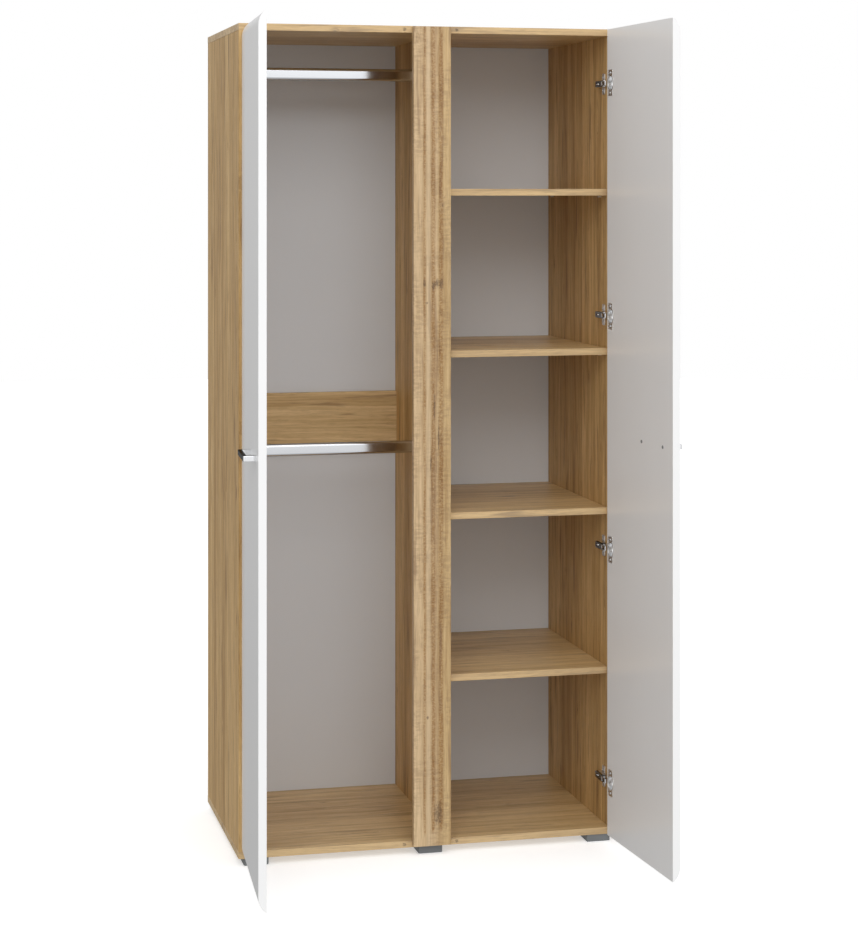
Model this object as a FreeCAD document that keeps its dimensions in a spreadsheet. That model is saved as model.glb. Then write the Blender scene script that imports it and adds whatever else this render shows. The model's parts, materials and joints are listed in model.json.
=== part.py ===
# Two-door wardrobe: an oak-decor carcass with a hanging bay on the left, a
# shelved bay on the right, a carved oak strip between the two white doors, and
# six flat plastic feet. Both doors stand open on concealed cup hinges.
#
# Frame: millimetres, +Z up, floor at z = 0. X runs from the left bay to the
# right bay with 0 at the carcass's middle. Y runs from the front to the back,
# with 0 halfway between the open doors' free edges and the back's nail heads.

import FreeCAD, Part
import math
import os
import Sketcher

from FreeCAD import Placement, Rotation, Vector

doc = FreeCAD.newDocument("wardrobe")
sheet = doc.addObject("Spreadsheet::Sheet", "dims")

# Driving dimensions in millimetres and degrees, one cell each.
SIZES = {
    # carcass
    "carcass_width": 912,
    "carcass_depth": 531,
    "carcass_height": 1933,
    "board": 16,
    "back_thickness": 3,
    "side_inset": 0.5,
    "back_edge_inset": 1,
    "back_seam": 1,
    # shelves
    "shelf_setback": 11,
    "shelf_play": 0.5,
    # carved strip between the doors
    "strip_width": 90,
    "strip_thickness": 19,
    "strip_bottom_gap": 5.5,
    "strip_top_gap": 1.5,
    "flute_radius": 14,
    "flute_depth": 1.6,
    "flute_pitch": 15,
    "strip_dowel_depth": 10,
    # feet
    "foot_height": 17,
    "foot_width": 58,
    "foot_length": 58,
    "foot_side_inset": 13,
    "foot_front_inset": 2,
    "foot_rear_inset": 20,
    "foot_corner": 3,
    "foot_recess_radius": 5,
    "foot_recess_depth": 7,
    # doors
    "door_thickness": 18,
    "door_gap": 2,
    "door_side_inset": 1,
    "door_strip_gap": 2.5,
    "door_end_drop": 31,
    "door_end_radius": 38,
    "open_angle": 93.6,
    # hinges
    "pivot_inset": 7.9,
    "pivot_front": 18,
    "hinge_end_inset": 130,
    "cup_inset": 22.5,
    "cup_radius": 17.5,
    "cup_depth": 13,
    "cup_wall": 1.2,
    "flange_thickness": 0.8,
    "flange_rim": 2,
    "flange_height": 63,
    "flange_width": 14,
    "cup_screw_spacing": 48,
    "plate_setback": 37,
    "plate_height": 51,
    "plate_width": 19,
    "plate_thickness": 2.5,
    "plate_screw_spacing": 32,
    "block_height": 8,
    "block_front": 24,
    "block_back": 64,
    "arm_rise": 6.5,
    "arm_width": 15,
    "arm_wall": 2,
    "arm_tip_setback": 0.5,
    "arm_cover_setback": 12,
    "link_inset": 26,
    "link_setback": 5,
    "link_length": 18,
    "link_open_angle": 100,
    "link_radius": 2,
    "link_pin_radius": 1.5,
    "link_eye_radius": 2.7,
    "link_height": 10,
    # handles
    "handle_span": 128,
    "handle_edge_inset": 58.5,
    "handle_projection": 28,
    "handle_bar": 9,
    "handle_height": 12,
    "handle_corner": 1,
    # hanging rails
    "rail_height": 30,
    "rail_width": 15,
    "rail_wall": 1.2,
    "upper_rail_drop": 87.5,
    "lower_rail_rise": 898,
    "bracket_base": 2.5,
    "bracket_rim": 3,
    "bracket_reach": 12,
    "bracket_ear": 10,
    # cross board behind the lower rail
    "back_rail_height": 150,
    "back_rail_rise": 864.5,
    # hardware
    "pin_radius": 2.5,
    "pin_depth": 8,
    "pin_reach": 8,
    "pin_end_inset": 50,
    "cam_radius": 7.5,
    "cam_depth": 12.5,
    "cam_setback": 34,
    "bolt_radius": 3,
    "bolt_depth": 11,
    "dowel_radius": 4,
    "dowel_depth": 11,
    "fitting_end_inset": 60,
    "dowel_offset": 32,
    "screw_radius": 1.75,
    "screw_head_radius": 3.5,
    "screw_head_height": 2,
    "screw_depth": 12,
    "handle_screw_radius": 2,
    "handle_screw_head": 4,
    "handle_screw_bite": 11,
    "nail_radius": 0.8,
    "nail_head_radius": 2.2,
    "nail_head_height": 0.7,
    "nail_depth": 14,
    "nail_end_inset": 90,
    "bumper_radius": 4,
    "bumper_height": 1.7,
    "bumper_inset": 18,
    # clearances
    "fit": 0.03,
    "slip": 0.2,
}
for row, (alias, size) in enumerate(SIZES.items(), start=1):
    sheet.set(f"A{row}", alias)
    sheet.set(f"B{row}", str(size))
    sheet.setAlias(f"B{row}", alias)
doc.recompute()

SHELF_COUNT = 4
HINGE_COUNT = 4
NAIL_COUNT = 5
FLUTE_COUNT = 4
SIDES = {"left": -1, "right": 1}

# Formulas that several pieces share. Places are worked out from the sheet, so
# that each piece follows the sizes of the pieces that it touches.
HALF_WIDTH = "dims.carcass_width / 2"
SIDE_INNER = "(dims.carcass_width / 2 - dims.side_inset - dims.board)"
BOTTOM = "dims.foot_height"
FLOOR_TOP = "(dims.foot_height + dims.board)"
CEILING = "(dims.foot_height + dims.carcass_height - dims.board)"
CLEAR_HEIGHT = "(dims.carcass_height - 2 * dims.board)"
BOARD_DEPTH = "(dims.carcass_depth - dims.back_thickness)"
DIVIDER_RIGHT = "(dims.strip_width / 2)"
DIVIDER_LEFT = "(dims.strip_width / 2 - dims.board)"
DOOR_WIDTH = (
    "(dims.carcass_width / 2 - dims.door_side_inset"
    " - dims.strip_width / 2 - dims.door_strip_gap)"
)
TILT = "(dims.open_angle * 1 deg - 90 deg)"
HINGE_EDGE = "(dims.pivot_inset - dims.door_side_inset)"
DOOR_INNER = "(dims.pivot_front - dims.door_gap)"
# The open door's free edge, measured forward from the carcass's front.
DOOR_REACH = (
    f"(dims.pivot_front - {HINGE_EDGE} * cos({TILT})"
    f" + {DOOR_INNER} * sin({TILT}) + {DOOR_WIDTH} * cos({TILT}))"
)
FRONT = f"(({DOOR_REACH} - dims.carcass_depth - dims.nail_head_height) / 2)"
BACK = f"({FRONT} + {BOARD_DEPTH})"
SHELF_CLEAR = f"(({CLEAR_HEIGHT} - {SHELF_COUNT} * dims.board) / {SHELF_COUNT + 1})"
HANDLE_OUTER = f"({DOOR_WIDTH} - dims.handle_edge_inset)"
HANDLE_INNER = f"({DOOR_WIDTH} - dims.handle_edge_inset - dims.handle_span)"
MIDDLE = "(dims.foot_height + dims.carcass_height / 2)"
LOWER_RAIL = f"({FLOOR_TOP} + dims.lower_rail_rise)"
UPPER_RAIL = f"({CEILING} - dims.upper_rail_drop)"
RAIL_PLACE = f"({FRONT} + {BOARD_DEPTH} / 2)"

# Rotations that point a cylinder's own +Z along each direction.
AXES = {
    "+x": Rotation(Vector(0, 1, 0), 90),
    "-x": Rotation(Vector(0, 1, 0), -90),
    "+y": Rotation(Vector(1, 0, 0), -90),
    "-y": Rotation(Vector(1, 0, 0), 90),
    "+z": Rotation(),
    "-z": Rotation(Vector(1, 0, 0), 180),
}


def size(alias):
    """The sheet's value of one driving dimension."""
    return float(sheet.get(alias))


def bind(item, path, places):
    """Tie a vector property's x, y and z to three formulas."""
    for letter, formula in zip("xyz", places):
        item.setExpression(f"{path}.{letter}", str(formula))


def box(label, corner, sizes):
    """A block with its lowest corner and its three sizes given as formulas."""
    item = doc.addObject("Part::Box", label)
    for name, formula in zip(("Length", "Width", "Height"), sizes):
        item.setExpression(name, str(formula))
    bind(item, "Placement.Base", corner)
    return item


def cylinder(label, axis, start, radius, length):
    """A round rod that starts at a point and runs along a named direction."""
    item = doc.addObject("Part::Cylinder", label)
    item.Placement = Placement(Vector(), AXES[axis])
    item.setExpression("Radius", str(radius))
    item.setExpression("Height", str(length))
    bind(item, "Placement.Base", start)
    return item


def fuse(label, pieces):
    """One solid from several touching ones."""
    item = doc.addObject("Part::MultiFuse", label)
    item.Shapes = pieces
    item.Refine = True
    return item


def cut(label, base, tool):
    """The base with the tool taken away."""
    item = doc.addObject("Part::Cut", label)
    item.Base = base
    item.Tool = tool
    item.Refine = True
    return item


def group(label, pieces):
    """Separate solids that share one node."""
    item = doc.addObject("Part::Compound", label)
    item.Links = pieces
    return item


def body_at(label, corner):
    """An empty PartDesign body placed by three formulas."""
    body = doc.addObject("PartDesign::Body", label)
    bind(body, "Placement.Base", corner)
    return body


def origin_plane(body, role):
    """One of the body's own origin planes."""
    return next(plane for plane in body.Origin.OriginFeatures if plane.Role == role)


def sketch_on(body, role, name):
    """A new sketch on one of the body's origin planes."""
    sketch = body.newObject("Sketcher::SketchObject", name)
    sketch.AttachmentSupport = [(origin_plane(body, role), "")]
    sketch.MapMode = "FlatFace"
    return sketch


def rectangle(sketch, wide, deep):
    """A fully constrained rectangle with one corner on the sketch's origin."""
    ends = [Vector(0, 0), Vector(10, 0), Vector(10, 10), Vector(0, 10)]
    for start, end in zip(ends, ends[1:] + ends[:1]):
        sketch.addGeometry(Part.LineSegment(start, end), False)
    for line in range(4):
        sketch.addConstraint(Sketcher.Constraint("Coincident", line, 2, (line + 1) % 4, 1))
    for line, kind in enumerate(("Horizontal", "Vertical", "Horizontal", "Vertical")):
        sketch.addConstraint(Sketcher.Constraint(kind, line))
    sketch.addConstraint(Sketcher.Constraint("Coincident", 0, 1, -1, 1))
    for line, name, formula in ((0, "wide", wide), (1, "deep", deep)):
        number = sketch.addConstraint(Sketcher.Constraint("Distance", line, 10))
        sketch.renameConstraint(number, name)
        sketch.setExpression(f"Constraints.{name}", str(formula))


def pad(body, sketch, length):
    """The sketch's outline pulled out along its own normal."""
    feature = body.newObject("PartDesign::Pad", body.Name + "_pad")
    feature.Profile = sketch
    feature.setExpression("Length", str(length))
    sketch.Visibility = False
    return feature


def board(label, corner, sizes):
    """A flat board as a sketched rectangle pulled up to its height."""
    body = body_at(label, corner)
    sketch = sketch_on(body, "XY_Plane", label + "_outline")
    rectangle(sketch, sizes[0], sizes[1])
    pad(body, sketch, sizes[2])
    return body


def bore(body, axis, start, radius, depth):
    """A round blind hole drilled from a point in the body's own frame."""
    tool = body.newObject("PartDesign::SubtractiveCylinder", body.Name + "_bore")
    tool.AttachmentSupport = [(origin_plane(body, "XY_Plane"), "")]
    tool.MapMode = "FlatFace"
    tool.AttachmentOffset = Placement(Vector(), AXES[axis])
    tool.setExpression("Radius", str(radius))
    tool.setExpression("Height", str(depth))
    bind(tool, "AttachmentOffset.Base", start)
    return tool


def drill(body, corner, axis, start, radius, depth):
    """A bore whose start is given in the wardrobe's frame, not the body's."""
    local = [f"({place}) - ({offset})" for place, offset in zip(start, corner)]
    return bore(body, axis, local, radius, depth)


def edges_along(shape, direction):
    """Names of the shape's straight edges that run along a direction."""
    names = []
    for number, edge in enumerate(shape.Edges, start=1):
        if edge.Curve.TypeId == "Part::GeomLine":
            if abs(edge.Curve.Direction.dot(direction)) > 0.999:
                names.append(f"Edge{number}")
    return names


def hinge_height(number):
    """Height of one hinge's middle, counted from the lowest."""
    pitch = f"(dims.carcass_height - 2 * dims.hinge_end_inset) / {HINGE_COUNT - 1}"
    return f"({BOTTOM} + dims.hinge_end_inset + {number} * {pitch})"


def shelf_height(number):
    """Height of one shelf's underside, counted from the lowest."""
    return f"({FLOOR_TOP} + {SHELF_CLEAR} + {number} * ({SHELF_CLEAR} + dims.board))"


def nail_height(number):
    """Height of one of the nails along an upright board's rear edge."""
    pitch = f"(dims.carcass_height - 2 * dims.nail_end_inset) / {NAIL_COUNT - 1}"
    return f"({BOTTOM} + dims.nail_end_inset + {number} * {pitch})"


def inset_span(side, near, far):
    """Lowest x and width of a block between two insets from the carcass's end."""
    low = f"{HALF_WIDTH} - ({far})" if side > 0 else f"-({HALF_WIDTH}) + ({near})"
    return low, f"({far}) - ({near})"


def inset_place(side, inset):
    """The x at an inset from the carcass's left or right end."""
    return f"{side} * ({HALF_WIDTH} - ({inset}))"


def door_span(side, near, far):
    """Lowest x and width of a block between two distances along a closed door.

    Both are counted from the door's hinge edge, in the door's own frame, which
    has the hinge axis at its origin.
    """
    low = f"{HINGE_EDGE} - ({far})" if side > 0 else f"-({HINGE_EDGE}) + ({near})"
    return low, f"({far}) - ({near})"


def door_place(side, along):
    """The x at a distance from a closed door's hinge edge, in its own frame."""
    return f"{side} * ({HINGE_EDGE} - ({along}))"


def swing(item, side):
    """Put a closed door's piece on its hinge axis, turned to the open angle."""
    item.Placement = Placement(Vector(), Rotation(Vector(0, 0, side), 1))
    bind(item, "Placement.Base", (
        f"{side} * ({HALF_WIDTH} - dims.pivot_inset)",
        f"{FRONT} - dims.pivot_front",
        "0",
    ))
    item.setExpression("Placement.Rotation.Angle", "dims.open_angle * 1 deg")
    return item


# Where the boards' fittings go, counted along the depth.
FRONT_FITTING = f"({FRONT} + dims.fitting_end_inset)"
REAR_FITTING = f"({BACK} - dims.fitting_end_inset)"
FRONT_DOWEL = f"({FRONT} + dims.fitting_end_inset + dims.dowel_offset)"
REAR_DOWEL = f"({BACK} - dims.fitting_end_inset - dims.dowel_offset)"
FRONT_PIN = f"({FRONT} + dims.shelf_setback + dims.pin_end_inset)"
REAR_PIN = f"({BACK} - dims.pin_end_inset)"
SIDE_MIDDLE = "(dims.carcass_width / 2 - dims.side_inset - dims.board / 2)"
DIVIDER_MIDDLE = "(dims.strip_width / 2 - dims.board / 2)"

# Each upright board: its middle, the x of its fitted face, the way out of it.
UPRIGHTS = {
    "left_side": (f"-{SIDE_MIDDLE}", f"-{SIDE_INNER}", "-x"),
    "divider": (DIVIDER_MIDDLE, DIVIDER_RIGHT, "-x"),
    "right_side": (SIDE_MIDDLE, SIDE_INNER, "+x"),
}
BACK_RAIL_MIDDLE = f"({FLOOR_TOP} + dims.back_rail_rise + dims.back_rail_height / 2)"
BACK_RAIL_DOWELS = [
    f"({BACK_RAIL_MIDDLE} + {sign} * dims.back_rail_height / 3)" for sign in (-1, 1)
]
RAILS = {"lower": LOWER_RAIL, "upper": UPPER_RAIL}
BRACKET_SCREW = "(dims.rail_height / 2 + dims.slip + dims.bracket_rim + dims.bracket_ear / 2)"
STRIP_DOWELS = [
    f"({FLOOR_TOP} + {CLEAR_HEIGHT} * {part} / 5)" for part in (1, 2, 3, 4)
]
STRIP_END_DOWEL = "(0 - dims.strip_width / 4)"


def upright_holes(name, body, corner):
    """Cam, bolt, dowel and nail holes in one upright board."""
    middle, face, inward = UPRIGHTS[name]
    for low, way in ((FLOOR_TOP, "+z"), (CEILING, "-z")):
        sign = "+" if way == "+z" else "-"
        cam = f"{low} {sign} dims.cam_setback"
        for place in (FRONT_FITTING, REAR_FITTING):
            drill(body, corner, way, (middle, place, low),
                  "dims.bolt_radius + dims.fit", "dims.cam_setback")
            drill(body, corner, inward, (face, place, cam),
                  "dims.cam_radius + dims.fit", "dims.cam_depth + dims.fit")
        for place in (FRONT_DOWEL, REAR_DOWEL):
            drill(body, corner, way, (middle, place, low),
                  "dims.dowel_radius + dims.fit", "dims.dowel_depth + dims.slip")
    for x in nail_places(name):
        for number in range(NAIL_COUNT):
            drill(body, corner, "-y", (x, BACK, nail_height(number)),
                  "dims.nail_radius + dims.fit", "dims.nail_depth")


def nail_places(name):
    """The x of each line of nails in one upright board's rear edge."""
    middle = UPRIGHTS[name][0]
    if name == "divider":
        return [f"{middle} {sign} dims.board / 4" for sign in "-+"]
    return [middle]


def make_upright(name):
    """A side panel or the divider, with the holes that all three share."""
    middle = UPRIGHTS[name][0]
    corner = (f"{middle} - dims.board / 2", FRONT, FLOOR_TOP)
    body = board(name, corner, ("dims.board", BOARD_DEPTH, CLEAR_HEIGHT))
    upright_holes(name, body, corner)
    return body, corner


def pin_holes(body, corner, face, inward):
    """Two shelf pin holes under each shelf."""
    for number in range(SHELF_COUNT):
        height = f"{shelf_height(number)} - dims.pin_radius"
        for place in (FRONT_PIN, REAR_PIN):
            drill(body, corner, inward, (face, place, height),
                  "dims.pin_radius + dims.fit", "dims.pin_depth + dims.slip")


def rail_holes(body, corner, face, inward):
    """Screw holes for the brackets of both hanging rails, and for the back rail."""
    for height in RAILS.values():
        for sign in "-+":
            drill(body, corner, inward, (face, RAIL_PLACE, f"{height} {sign} {BRACKET_SCREW}"),
                  "dims.screw_radius + dims.fit", "dims.screw_depth + dims.slip")
    for height in BACK_RAIL_DOWELS:
        drill(body, corner, inward, (face, f"{BACK} - dims.board / 2", height),
              "dims.dowel_radius + dims.fit", "dims.dowel_depth + dims.slip")


def plate_holes(body, corner, side):
    """Two screw holes for each hinge's mounting plate."""
    inward = "+x" if side > 0 else "-x"
    face = f"{side} * {SIDE_INNER}"
    for number in range(HINGE_COUNT):
        for sign in "-+":
            height = f"{hinge_height(number)} {sign} dims.plate_screw_spacing / 2"
            drill(body, corner, inward, (face, f"{FRONT} + dims.plate_setback", height),
                  "dims.screw_radius + dims.fit", "dims.screw_depth + dims.slip")


def make_left_side():
    """The hanging bay's outer panel."""
    body, corner = make_upright("left_side")
    rail_holes(body, corner, f"-{SIDE_INNER}", "-x")
    plate_holes(body, corner, -1)
    return body


def make_right_side():
    """The shelved bay's outer panel."""
    body, corner = make_upright("right_side")
    pin_holes(body, corner, SIDE_INNER, "+x")
    plate_holes(body, corner, 1)
    return body


def make_divider():
    """The upright between the bays, behind the strip's right half."""
    body, corner = make_upright("divider")
    rail_holes(body, corner, DIVIDER_LEFT, "+x")
    pin_holes(body, corner, DIVIDER_RIGHT, "-x")
    for height in STRIP_DOWELS:
        drill(body, corner, "+y", (DIVIDER_MIDDLE, FRONT, height),
              "dims.dowel_radius + dims.fit", "dims.dowel_depth + dims.slip")
    return body


def make_cap(name, low, face, way):
    """The top or bottom panel, which covers the ends of the three uprights."""
    corner = (f"-({HALF_WIDTH})", FRONT, low)
    body = board(name, corner, ("dims.carcass_width", BOARD_DEPTH, "dims.board"))
    for middle, _, _ in UPRIGHTS.values():
        for place in (FRONT_FITTING, REAR_FITTING):
            drill(body, corner, way, (middle, place, face),
                  "dims.bolt_radius + dims.fit", "dims.bolt_depth + dims.slip")
        for place in (FRONT_DOWEL, REAR_DOWEL):
            drill(body, corner, way, (middle, place, face),
                  "dims.dowel_radius + dims.fit", "dims.dowel_depth + dims.slip")
    drill(body, corner, "+y", (STRIP_END_DOWEL, FRONT, f"{low} + dims.board / 2"),
          "dims.dowel_radius + dims.fit", "dims.dowel_depth + dims.slip")
    return body, corner


def make_strip():
    """The oak strip between the doors, with long grooves down its face."""
    corner = (
        "0 - dims.strip_width / 2",
        f"{FRONT} - dims.strip_thickness",
        f"{BOTTOM} + dims.strip_bottom_gap",
    )
    height = "dims.carcass_height - dims.strip_bottom_gap - dims.strip_top_gap"
    body = board("centre_strip", corner, ("dims.strip_width", "dims.strip_thickness", height))
    for number in range(FLUTE_COUNT):
        place = f"dims.strip_width / 2 + {number - (FLUTE_COUNT - 1) / 2} * dims.flute_pitch"
        bore(body, "+z", (place, "dims.flute_depth - dims.flute_radius", "0"),
             "dims.flute_radius", height)
    for height in STRIP_DOWELS:
        drill(body, corner, "-y", (DIVIDER_MIDDLE, FRONT, height),
              "dims.dowel_radius + dims.fit", "dims.strip_dowel_depth + dims.slip")
    for low in (BOTTOM, CEILING):
        drill(body, corner, "-y", (STRIP_END_DOWEL, FRONT, f"{low} + dims.board / 2"),
              "dims.dowel_radius + dims.fit", "dims.strip_dowel_depth + dims.slip")
    return body


def make_shelf(number):
    """One shelf, resting on its four pins."""
    corner = (
        f"{DIVIDER_RIGHT} + dims.shelf_play",
        f"{FRONT} + dims.shelf_setback",
        shelf_height(number),
    )
    return board(f"shelf_{number + 1}", corner, (
        f"{SIDE_INNER} - {DIVIDER_RIGHT} - 2 * dims.shelf_play",
        f"{BOARD_DEPTH} - dims.shelf_setback - dims.shelf_play",
        "dims.board",
    ))


def make_back_rail():
    """The oak cross board in front of the hanging bay's back panel."""
    corner = (f"-{SIDE_INNER}", f"{BACK} - dims.board", f"{FLOOR_TOP} + dims.back_rail_rise")
    body = board("back_rail", corner, (
        f"{DIVIDER_LEFT} + {SIDE_INNER}", "dims.board", "dims.back_rail_height"))
    for face, way in ((f"-{SIDE_INNER}", "+x"), (DIVIDER_LEFT, "-x")):
        for height in BACK_RAIL_DOWELS:
            drill(body, corner, way, (face, f"{BACK} - dims.board / 2", height),
                  "dims.dowel_radius + dims.fit", "dims.dowel_depth + dims.slip")
    return body


def make_back_panel(name, low, high, uprights):
    """A thin sheet nailed on behind one bay."""
    corner = (low, BACK, f"{BOTTOM} + dims.back_edge_inset")
    body = board(name, corner, (
        f"({high}) - ({low})",
        "dims.back_thickness",
        "dims.carcass_height - 2 * dims.back_edge_inset",
    ))
    for x in uprights:
        for number in range(NAIL_COUNT):
            drill(body, corner, "+y", (x, BACK, nail_height(number)),
                  "dims.nail_radius + dims.fit", "dims.back_thickness")
    return body


def make_nails():
    """Small flat-headed nails through the back sheets into the uprights."""
    pieces = []
    rear = f"{BACK} + dims.back_thickness"
    for name in UPRIGHTS:
        for line, x in enumerate(nail_places(name)):
            for number in range(NAIL_COUNT):
                label = f"nail_{name}_{line}_{number}"
                height = nail_height(number)
                shank = cylinder(label + "_shank", "-y", (x, rear, height),
                                 "dims.nail_radius", "dims.nail_depth")
                head = cylinder(label + "_head", "+y", (x, rear, height),
                                "dims.nail_head_radius", "dims.nail_head_height")
                pieces.append(fuse(label, [shank, head]))
    return group("back_panel_nails", pieces)


def make_cams():
    """Round cam housings let into the uprights' inner faces."""
    pieces = []
    for name, (_, face, inward) in UPRIGHTS.items():
        for low, sign in ((FLOOR_TOP, "+"), (CEILING, "-")):
            for place in (FRONT_FITTING, REAR_FITTING):
                start = (face, place, f"{low} {sign} dims.cam_setback")
                pieces.append(cylinder(f"cam_{name}_{len(pieces)}", inward, start,
                                       "dims.cam_radius", "dims.cam_depth"))
    return group("cam_housings", pieces)


def make_bolts():
    """Cam bolts that tie the top and bottom panels to the uprights."""
    length = "dims.bolt_depth + dims.cam_setback - dims.cam_radius - dims.slip"
    pieces = []
    for name, (middle, _, _) in UPRIGHTS.items():
        for face, way, sign in ((FLOOR_TOP, "+z", "-"), (CEILING, "-z", "+")):
            for place in (FRONT_FITTING, REAR_FITTING):
                start = (middle, place, f"{face} {sign} dims.bolt_depth")
                pieces.append(cylinder(f"bolt_{name}_{len(pieces)}", way, start,
                                       "dims.bolt_radius", length))
    return group("cam_bolts", pieces)


def make_dowels():
    """Wooden dowels in the board joints, the back rail and the strip."""
    pieces = []

    def add(axis, start, length):
        label = f"dowel_{len(pieces)}"
        pieces.append(cylinder(label, axis, start, "dims.dowel_radius", length))

    for middle, _, _ in UPRIGHTS.values():
        for face in (FLOOR_TOP, CEILING):
            for place in (FRONT_DOWEL, REAR_DOWEL):
                add("+z", (middle, place, f"{face} - dims.dowel_depth"), "2 * dims.dowel_depth")
    for face in (f"-{SIDE_INNER}", DIVIDER_LEFT):
        for height in BACK_RAIL_DOWELS:
            start = (f"{face} - dims.dowel_depth", f"{BACK} - dims.board / 2", height)
            add("+x", start, "2 * dims.dowel_depth")
    depth = "dims.strip_dowel_depth"
    ends = [(STRIP_END_DOWEL, f"{low} + dims.board / 2") for low in (BOTTOM, CEILING)]
    for x, height in [(DIVIDER_MIDDLE, place) for place in STRIP_DOWELS] + ends:
        add("+y", (x, f"{FRONT} - {depth}", height), f"{depth} + dims.dowel_depth")
    return group("dowels", pieces)


def make_shelf_pins():
    """Steel pins in the divider and the right side, four under each shelf."""
    pieces = []
    for number in range(SHELF_COUNT):
        height = f"{shelf_height(number)} - dims.pin_radius"
        for place in (FRONT_PIN, REAR_PIN):
            for face, way in ((DIVIDER_RIGHT, "-"), (SIDE_INNER, "+")):
                start = (f"{face} {way} dims.pin_depth", place, height)
                pieces.append(cylinder(f"pin_{len(pieces)}", "+x" if way == "-" else "-x",
                                       start, "dims.pin_radius",
                                       "dims.pin_depth + dims.pin_reach"))
    return group("shelf_pins", pieces)


def oval_rod(label, start, length, wide, high):
    """A bar along +X, flat-sided with round top and bottom."""
    x, y, z = start
    flat = box(label + "_flat", (x, f"{y} - ({wide}) / 2", f"{z} - (({high}) - ({wide})) / 2"),
               (length, wide, f"({high}) - ({wide})"))
    rounds = [
        cylinder(f"{label}_round_{word}", "+x", (x, y, f"{z} {sign} (({high}) - ({wide})) / 2"),
                 f"({wide}) / 2", length)
        for word, sign in (("low", "-"), ("top", "+"))
    ]
    return fuse(label, [flat] + rounds)


def make_rail(name, height):
    """A hollow oval hanging rail, held in a bracket at each end."""
    start = (f"-{SIDE_INNER} + dims.bracket_base + dims.fit", RAIL_PLACE, height)
    length = f"{SIDE_INNER} + {DIVIDER_LEFT} - 2 * dims.bracket_base - 2 * dims.fit"
    outer = oval_rod(name + "_outer", start, length, "dims.rail_width", "dims.rail_height")
    inner = oval_rod(name + "_inner", start, length,
                     "dims.rail_width - 2 * dims.rail_wall",
                     "dims.rail_height - 2 * dims.rail_wall")
    return cut(name, outer, inner)


def make_bracket(label, face, sign, height):
    """A rail's end bracket: a base plate with two ears and a rim round the rail."""
    wide = "dims.rail_width + 2 * dims.slip"
    high = "dims.rail_height + 2 * dims.slip"
    base_x = face if sign > 0 else f"{face} - dims.bracket_base"
    reach_x = face if sign > 0 else f"{face} - dims.bracket_reach"
    cup_x = f"{face} + dims.bracket_base" if sign > 0 else reach_x
    base = oval_rod(label + "_base", (base_x, RAIL_PLACE, height), "dims.bracket_base",
                    f"{wide} + 2 * dims.bracket_rim",
                    f"{high} + 2 * dims.bracket_rim + 2 * dims.bracket_ear")
    rim = oval_rod(label + "_rim", (reach_x, RAIL_PLACE, height), "dims.bracket_reach",
                   f"{wide} + 2 * dims.bracket_rim", f"{high} + 2 * dims.bracket_rim")
    hollow = oval_rod(label + "_hollow", (cup_x, RAIL_PLACE, height),
                      "dims.bracket_reach - dims.bracket_base", wide, high)
    holes = [
        cylinder(f"{label}_hole_{word}", "+x",
                 (base_x, RAIL_PLACE, f"{height} {way} {BRACKET_SCREW}"),
                 "dims.screw_radius + dims.slip", "dims.bracket_base")
        for word, way in (("low", "-"), ("top", "+"))
    ]
    return cut(label, fuse(label + "_solid", [base, rim]),
               fuse(label + "_voids", [hollow] + holes))


def screw(label, axis, back, start, radius, head_radius, head_height, length):
    """A round-headed screw: its head sits behind the start, its shank ahead."""
    shank = cylinder(label + "_shank", axis, start, radius, length)
    head = cylinder(label + "_head", back, start, head_radius, head_height)
    return fuse(label, [shank, head])


def board_screw(label, axis, back, start, length):
    """A small wood screw."""
    return screw(label, axis, back, start, "dims.screw_radius",
                 "dims.screw_head_radius", "dims.screw_head_height", length)


def make_rail_brackets():
    """Both hanging rails' brackets, and the screws that hold them."""
    brackets = []
    screws = []
    for name, height in RAILS.items():
        for word, face, sign in (("left", f"-{SIDE_INNER}", 1), ("right", DIVIDER_LEFT, -1)):
            label = f"{name}_{word}_bracket"
            brackets.append(make_bracket(label, face, sign, height))
            axis, back = ("-x", "+x") if sign > 0 else ("+x", "-x")
            base = f"{face} {'+' if sign > 0 else '-'} dims.bracket_base"
            for way in "-+":
                start = (base, RAIL_PLACE, f"{height} {way} {BRACKET_SCREW}")
                screws.append(board_screw(f"{label}_screw_{len(screws)}", axis, back, start,
                                          "dims.bracket_base + dims.screw_depth"))
    return [group("rail_brackets", brackets), group("rail_bracket_screws", screws)]


FOOT_PLACES = {
    "left": f"-({HALF_WIDTH}) + dims.foot_side_inset",
    "centre": "0 - dims.foot_width / 2",
    "right": f"{HALF_WIDTH} - dims.foot_side_inset - dims.foot_width",
}
FOOT_ROWS = {
    "front": f"{FRONT} + dims.foot_front_inset",
    "rear": f"{FRONT} + dims.carcass_depth - dims.foot_rear_inset - dims.foot_length",
}


def make_foot(row, word):
    """A flat square plastic foot with a recess for its screw's head."""
    body = body_at(f"foot_{row}_{word}", (FOOT_PLACES[word], FOOT_ROWS[row], "0"))
    sketch = sketch_on(body, "XY_Plane", body.Name + "_outline")
    rectangle(sketch, "dims.foot_width", "dims.foot_length")
    block = pad(body, sketch, "dims.foot_height")
    doc.recompute()
    rounding = body.newObject("PartDesign::Fillet", body.Name + "_corners")
    rounding.Base = (block, edges_along(block.Shape, Vector(0, 0, 1)))
    rounding.setExpression("Radius", "dims.foot_corner")
    middle = ("dims.foot_width / 2", "dims.foot_length / 2", "0")
    bore(body, "+z", middle, "dims.foot_recess_radius", "dims.foot_recess_depth")
    bore(body, "+z", middle, "dims.screw_radius + dims.slip", "dims.foot_height")
    return body


def foot_middles():
    """The x and y of each foot's middle."""
    return [
        (f"{x} + dims.foot_width / 2", f"{y} + dims.foot_length / 2")
        for y in FOOT_ROWS.values() for x in FOOT_PLACES.values()
    ]


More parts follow.
